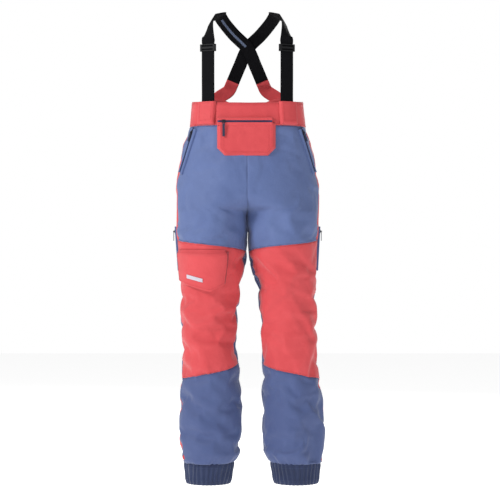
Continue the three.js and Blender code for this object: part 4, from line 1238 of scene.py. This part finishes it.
def ribbed_webbing(name, base, light, stripe=None):
    """Knitted elastic: polyester over rubber, in upright ribs 1.6 mm apart, drawn at 2.4 mm. It is
    matt and black, with grey highlights on the ribs."""
    material, tree, shader = new_material(name)
    place = add_node(tree, "ShaderNodeTexCoord")
    both = crossed_waves(tree, place, 0.0024, 0.0020)
    highlight_patches = add_node(
        tree, "ShaderNodeTexNoise", {"Vector": place.outputs["Object"], "Scale": 30.0, "Detail": 4.0},
    )
    # painted highlight: the ribs are coloured a lighter grey, in uneven patches
    lit = add_node(
        tree, "ShaderNodeMath", {0: both.outputs[0], 1: highlight_patches.outputs["Fac"]}, operation="MULTIPLY",
    )
    tone = add_node(
        tree, "ShaderNodeMix", {"Factor": lit.outputs[0], 6: linear(base), 7: linear(light)},
        data_type="RGBA",
    )
    colour = tone.outputs[2]
    if stripe is not None:
        grey, (u0, u1), (v0, v1) = stripe
        apart = add_node(tree, "ShaderNodeSeparateXYZ", {"Vector": place.outputs["UV"]})
        inside = None
        for axis, low, high in (("X", u0, u1), ("Y", v0, v1)):
            over = add_node(
                tree, "ShaderNodeMath", {0: apart.outputs[axis], 1: low}, operation="GREATER_THAN",
            )
            under = add_node(
                tree, "ShaderNodeMath", {0: apart.outputs[axis], 1: high}, operation="LESS_THAN",
            )
            pair = add_node(
                tree, "ShaderNodeMath", {0: over.outputs[0], 1: under.outputs[0]}, operation="MULTIPLY",
            )
            inside = pair if inside is None else add_node(
                tree, "ShaderNodeMath", {0: inside.outputs[0], 1: pair.outputs[0]}, operation="MULTIPLY",
            )
        colour = add_node(
            tree, "ShaderNodeMix", {"Factor": inside.outputs[0], 6: colour, 7: linear(grey)},
            data_type="RGBA",
        ).outputs[2]
    tree.links.new(colour, shader.inputs["Base Color"])
    bump = add_node(
        tree, "ShaderNodeBump", {"Height": both.outputs[0], "Strength": 0.6, "Distance": 0.0006},
    )
    tree.links.new(bump.outputs["Normal"], shader.inputs["Normal"])
    shader.inputs["Roughness"].default_value = 0.78
    shader.inputs["Specular IOR Level"].default_value = 0.1
    return material


WEB_WIDTH, WEB_THICK = 0.038, 0.0022
APEX = 0.259
REST_TILT = math.radians(33.4)  # the slope of the shoulder rests
TAB_OFF = 0.0052  # how far a back tab stands off the band
black_webbing = ribbed_webbing("ribbed_webbing", "#08080B", "#18181D")
marked_webbing = ribbed_webbing(
    "ribbed_webbing_marked", "#08080B", "#18181D", ("#5E6980", (0.0145, 0.0215), (0.190, 0.305)),
)


def knot_mix(knots, low, high, t, first, last):
    """Between first and last, as t is between two knots."""
    span = knots[high] - knots[low]
    return (knots[high] - t) / span * first + (t - knots[low]) / span * last


def spline(points, steps):
    """A centripetal curve through points, sampled."""
    p = np.array(points, dtype=float)
    p = np.concatenate([[2 * p[0] - p[1]], p, [2 * p[-1] - p[-2]]])
    made = []
    for i in range(1, len(p) - 2):
        knots = [0.0]
        for k in range(3):
            knots.append(knots[-1] + max(np.linalg.norm(p[i + k] - p[i + k - 1]) ** 0.5, 1e-6))
        for t in np.linspace(knots[1], knots[2], steps, endpoint=False):
            a = [knot_mix(knots, k, k + 1, t, p[i - 1 + k], p[i + k]) for k in range(3)]
            b = [knot_mix(knots, k, k + 2, t, a[k], a[k + 1]) for k in range(2)]
            made.append(knot_mix(knots, 1, 2, t, b[0], b[1]))
    made.append(p[-2])
    return np.array(made)


def web_grid(stations, width, steps, columns=7, cup=0.0005):
    """Webbing along stations, each a place and the direction that its face looks."""
    centre = spline([a for a, _ in stations], steps)
    share = np.linspace(0, len(stations) - 1, len(centre))
    faces_at = np.array([f for _, f in stations], dtype=float)
    face = np.stack([np.interp(share, np.arange(len(stations)), faces_at[:, k]) for k in range(3)], axis=1)
    along = np.gradient(centre, axis=0)
    along /= np.linalg.norm(along, axis=1, keepdims=True)
    face -= along * (face * along).sum(axis=1, keepdims=True)
    face /= np.linalg.norm(face, axis=1, keepdims=True)
    wide_way = np.cross(along, face)
    across = np.linspace(-0.5, 0.5, columns)
    grid = centre[:, None] - wide_way[:, None] * (across * width)[None, :, None]
    grid = grid + face[:, None] * (cup * (1 - (2 * across) ** 2))[None, :, None]
    if np.cross(grid[0, 1] - grid[0, 0], grid[1, 0] - grid[0, 0]) @ face[0] < 0:
        grid = grid[:, ::-1]
    return grid, face


def web_piece(
    name, stations, width, thick, material, body, nodes, slot, rests, steps=10, columns=7, cup=0.0005,
):
    """A length of webbing, or a tab made in the same way, fixed to its body."""
    grid, face = web_grid(stations, width, steps, columns, cup)
    made = sheet_object(name, grid + (face * thick / 2)[:, None], material, thick=thick, groove=0.0)
    fit_sheet(made, body, slot, nodes, rests)
    return grid, face


def rise(part):
    """A height between the bib's top, 0, and the shoulder rests, 1."""
    return BIB_TOP + APEX * part


def at(side, x, y, z):
    """A place on one side of the garment."""
    return np.array([side * x, y, z])


def looks(side, x, y, z):
    """The direction that one side's webbing faces."""
    return np.array([side * x, y, z]) / np.linalg.norm([x, y, z])


def past(side, part):
    """How far back the left brace stands, to pass behind the right one at the crossing."""
    return (2 * WEB_THICK + 0.002) * part if side > 0 else 0.0


def middle_at(corners, low, high):
    """The middle of a CAD piece's corners between two heights."""
    return corners[(corners[:, 2] >= low) & (corners[:, 2] <= high)].mean(axis=0)


def band_at(side, z):
    """A place on the back band where a brace from the other side is sewn on."""
    away = cloth_normals(-side, BRACE_WAY, np.minimum(z, BIB_TOP))
    return cloth_points(-side, BRACE_WAY, z) + away * TAB_OFF


for word, _, side in SIDES:
    node = f"brace_front_{word}"
    corners = np.unique(np.round([v.co for v in bpy.data.objects[node].data.vertices], 6), axis=0)
    heights = np.sort(corners[:, 2])
    top_z = heights[-4:].mean()
    foot, joint = middle_at(corners, heights[0] - 1e-3, heights[3] + 1e-3), middle_at(
        corners, heights[-4] - 1e-3, heights[-1] + 1e-3,
    )
    seat = middle_at(corners, BIB_TOP - 0.004, BIB_TOP + 0.004)
    top_corners = corners[corners[:, 2] > top_z - 1e-3]
    spread = top_corners[:, :2] - top_corners[:, :2].mean(axis=0)
    _, _, directions = np.linalg.svd(spread, full_matrices=False)
    facing = np.array([directions[1][0], directions[1][1], 0.0])
    if facing[1] > 0:
        facing = -facing
    lower = [(foot, facing), (seat, facing), ((seat + joint) / 2, facing), (joint, facing)]
    web_piece(
        f"brace_lower_{word}", lower, WEB_WIDTH, 0.0042, black_webbing, "trunk", (node,), "black_webbing",
        [f"brace_upper_{word}"], steps=8,
    )
    rest_face = np.array([side * math.sin(REST_TILT), 0, math.cos(REST_TILT)])
    over = [
        (joint + [0, 0, 0.0005], facing),
        (joint + [side * -0.0005, 0, 0.012], looks(side, 0.22, -0.97, 0)),
        (joint + [side * -0.001, 0, 0.026], looks(side, 0.58, -0.81, 0)),
        (at(side, 0.107, -0.072, rise(0.86)), looks(side, 0.85, -0.50, 0.15)),
        (at(side, 0.099, -0.040, rise(0.955)), looks(side, 0.88, -0.26, 0.38)),
        (at(side, 0.078, -0.012, rise(1)), rest_face),
        (at(side, 0.078, 0.012, rise(1)), rest_face),
        (at(side, 0.068, 0.036, rise(0.95)), looks(side, 0.25, 0.5, 0.8)),
        (at(side, 0.040, 0.057 + past(side, 0.6), rise(0.83)), looks(side, 0.08, 0.9, 0.4)),
        (at(side, 0, 0.074 + past(side, 1), rise(0.68)), looks(side, 0, 0.98, 0.2)),
        (at(side, -0.024, 0.084 + past(side, 0.6), rise(0.48)), looks(side, -0.05, 0.99, 0.14)),
        (at(side, -0.043, 0.093, rise(0.31)), looks(side, -0.1, 0.99, 0.1)),
    ]
    web = marked_webbing if side < 0 else black_webbing
    web_piece(
        f"brace_upper_{word}", over, WEB_WIDTH, WEB_THICK, web, "trunk", (f"brace_back_{word}",),
        "black_webbing", [f"back_tab_cloth_{word}"], steps=8,
    )

    # the coral tab, which spreads towards the band that it is sewn to
    tab_face = cloth_normals(-side, BRACE_WAY, BIB_TOP)
    tab = [
        (at(side, -0.0413, 0.0938, rise(0.31) + 0.004), looks(side, -0.1, 0.99, 0.1)),
        (at(side, -0.0459, 0.0958, rise(0.31) - 0.0065), looks(side, -0.1, 0.99, 0.1)),
        (at(side, -0.056, 0.108, (rise(0.31) + BIB_TOP + 0.030) / 2), looks(side, -0.12, 0.98, 0.05)),
        (band_at(side, BIB_TOP + 0.026), tab_face),
        (band_at(side, BIB_TOP - 0.022), tab_face),
    ]
    grid, face = web_piece(
        f"back_tab_cloth_{word}", tab, 0.0385, 0.0020, coral_nylon, "trunk", (f"back_tab_{word}",),
        "coral_shell", ["bib_back_shell"], steps=9, cup=0.0008,
    )
    for column in (1, -2):
        line = grid[:, column] + face * 0.0014
        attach(stitches(f"back_tab_{word}_stitching_{column % 7}", line, face, coral_thread), "trunk")

# ---------------------------------------------------------------- brace housings
# The foot of each front brace is sewn in under a patch of coral nylon on the band.

for word, _, side in SIDES:
    low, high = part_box(f"brace_housing_{word}")
    rows, columns = 16, 16
    share_z, share_w = np.meshgrid(np.linspace(0, 1, rows), np.linspace(0, 1, columns), indexing="ij")
    span = np.linspace(0.05, 0.45, 400)
    line = cloth_points(side, span, np.full(400, BIB_TOP - 0.02))[:, 0]
    inner = span[np.argmin(np.abs(line - (low[0] if side > 0 else high[0])))]
    outer = span[np.argmin(np.abs(line - (high[0] if side > 0 else low[0])))]
    way = inner + (outer - inner) * (share_w if side > 0 else 1 - share_w)
    z = low[2] + (high[2] - low[2]) * share_z
    edge = np.minimum(share_w, 1 - share_w) * 0.045
    lift = 0.0012 + 0.0078 * smooth(0, 0.0045, np.minimum(edge, share_z * 0.066))
    away = cloth_normals(side, way, np.minimum(z, BIB_TOP))
    grid = cloth_points(side, way, np.minimum(z, BIB_TOP)) + away * lift[..., None]
    grid[..., 2] = z
    grid += away * (0.0005 * soft_noise(grid, 0.012, 4.0 + side))[..., None]
    made = sheet_object(f"brace_housing_patch_{word}", grid, coral_nylon, thick=0.0016, groove=0.0)
    fit_sheet(made, "trunk", "coral_shell", [f"brace_housing_{word}"], ["bib_front_shell"])
    for label, path, lean in (
        ("top", grid[-2, 2:-2], away[-2, 2:-2]),
        ("foot", grid[3, 2:-2], away[3, 2:-2]),
        ("inner", grid[3:-1, 3], away[3:-1, 3]),
        ("outer", grid[3:-1, -4], away[3:-1, -4]),
    ):
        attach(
            stitches(f"brace_housing_{word}_{label}_stitching", path + lean * 0.0004, lean, coral_thread),
            "trunk",
        )

# ---------------------------------------------------------------- crossing keeper and adjusters
# A stitched patch of black webbing holds the braces together where they cross, and a moulded
# acetal adjuster slides on each front brace.

crossing = np.array([0, 0.98, 0.2]) / np.linalg.norm([0, 0.98, 0.2])
low, high = (np.array(c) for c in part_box("crossing_keeper"))
middle = (low + high) / 2
upright = np.array([0, -crossing[2], crossing[1]])
keeper = [(middle + upright * k * 0.014 - crossing * 0.0007, crossing) for k in (-1, 0, 1)]
grid, face = web_piece(
    "crossing_keeper_patch", keeper, 0.028, 0.0014, black_webbing, "trunk", ("crossing_keeper",),
    "black_webbing", ["brace_upper_right", "brace_upper_left"], steps=6, cup=0.0004,
)
for column in (1, -2):
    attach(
        stitches(
            f"crossing_keeper_stitching_{column % 7}", grid[:, column] + face * 0.0012, face, dark_thread,
        ),
        "trunk",
    )

acetal = smooth_plastic("moulded_acetal", "#0B0B0E", 0.62)
acetal.node_tree.nodes["Principled BSDF"].inputs["Specular IOR Level"].default_value = 0.25
for word in ("right", "left"):
    repaint(f"adjuster_{word}", acetal)

# ---------------------------------------------------------------- elastics and gaiters
# Knitted white elastic draws in the cuffs and the back of the waist from inside, and a loose
# navy gaiter hangs inside each leg over the boot.

white_elastic = ribbed_webbing("knitted_elastic", "#C9C8C4", "#E6E5E1")


def ring_inside(name, s, side, low, high, rows, inset, material, body, node, slot, thick, drop=0.0):
    """A ring of elastic or lining inside one leg, rippled where it is drawn in."""
    lap = np.linspace(0, 1, 97)
    if not s:
        lap = lap[::-1]
    way, share = np.meshgrid(lap, np.linspace(0, 1, rows))
    z = low + (high - low) * share
    away = cloth_normals(side, way, np.clip(z, HEM + 0.004, None))
    ripple = np.cos(way * math.tau * 24) * 0.0006 + drop * np.sin(way * math.tau * 9) * (1 - share)
    grid = cloth_points(side, way, z) - away * (np.interp(share, (0, 1), inset) + ripple)[..., None]
    grid[:, -1] = grid[:, 0]
    made = sheet_object(name, grid, material, thick=thick, wrap=True, groove=0.0, finer=0)
    fit_sheet(made, body, slot, [node], [f"cuff_shell_{body.removeprefix('shin_')}"])


for word, s, side in SIDES:
    ring_inside(
        f"cuff_elastic_band_{word}", s, side, HEM + 0.010, CUFF_TOP - 0.010, 8, (0.0042, 0.0042),
        white_elastic, f"shin_{word}", f"cuff_elastic_{word}", "white_elastic", 0.0012,
    )
    ring_inside(
        f"snow_gaiter_cloth_{word}", s, side, HEM + 0.022, HEM + 0.185, 18, (0.013, 0.022), navy_nylon,
        f"shin_{word}", f"snow_gaiter_{word}", "navy_lining", 0.0008, drop=0.0016,
    )

WAIST_REACH, WAIST_LOW, WAIST_TALL = 0.4, 0.008, 0.038
rows = 6
way = np.concatenate([np.linspace(1 - WAIST_REACH, 1, 40), np.linspace(1, 1 - WAIST_REACH, 40)[1:]])
half_side = np.concatenate([np.full(40, 1.0), np.full(39, -1.0)])
way_grid, share = np.meshgrid(way, np.linspace(0, 1, rows))
side_grid = np.broadcast_to(half_side, way_grid.shape)
z = BAND_BOTTOM + WAIST_LOW + WAIST_TALL * share
grid = cloth_points(side_grid, way_grid, z) - cloth_normals(side_grid, way_grid, z) * 0.0038
grid += np.array([0, 1, 0]) * (0.0006 * np.cos(np.linspace(0, math.tau * 22, len(way))))[None, :, None]
made = sheet_object("waist_elastic_band", grid, white_elastic, thick=0.0012, groove=0.0, finer=0)
fit_sheet(made, "trunk", "white_elastic", ["waist_elastic"], ["bib_back_shell"])
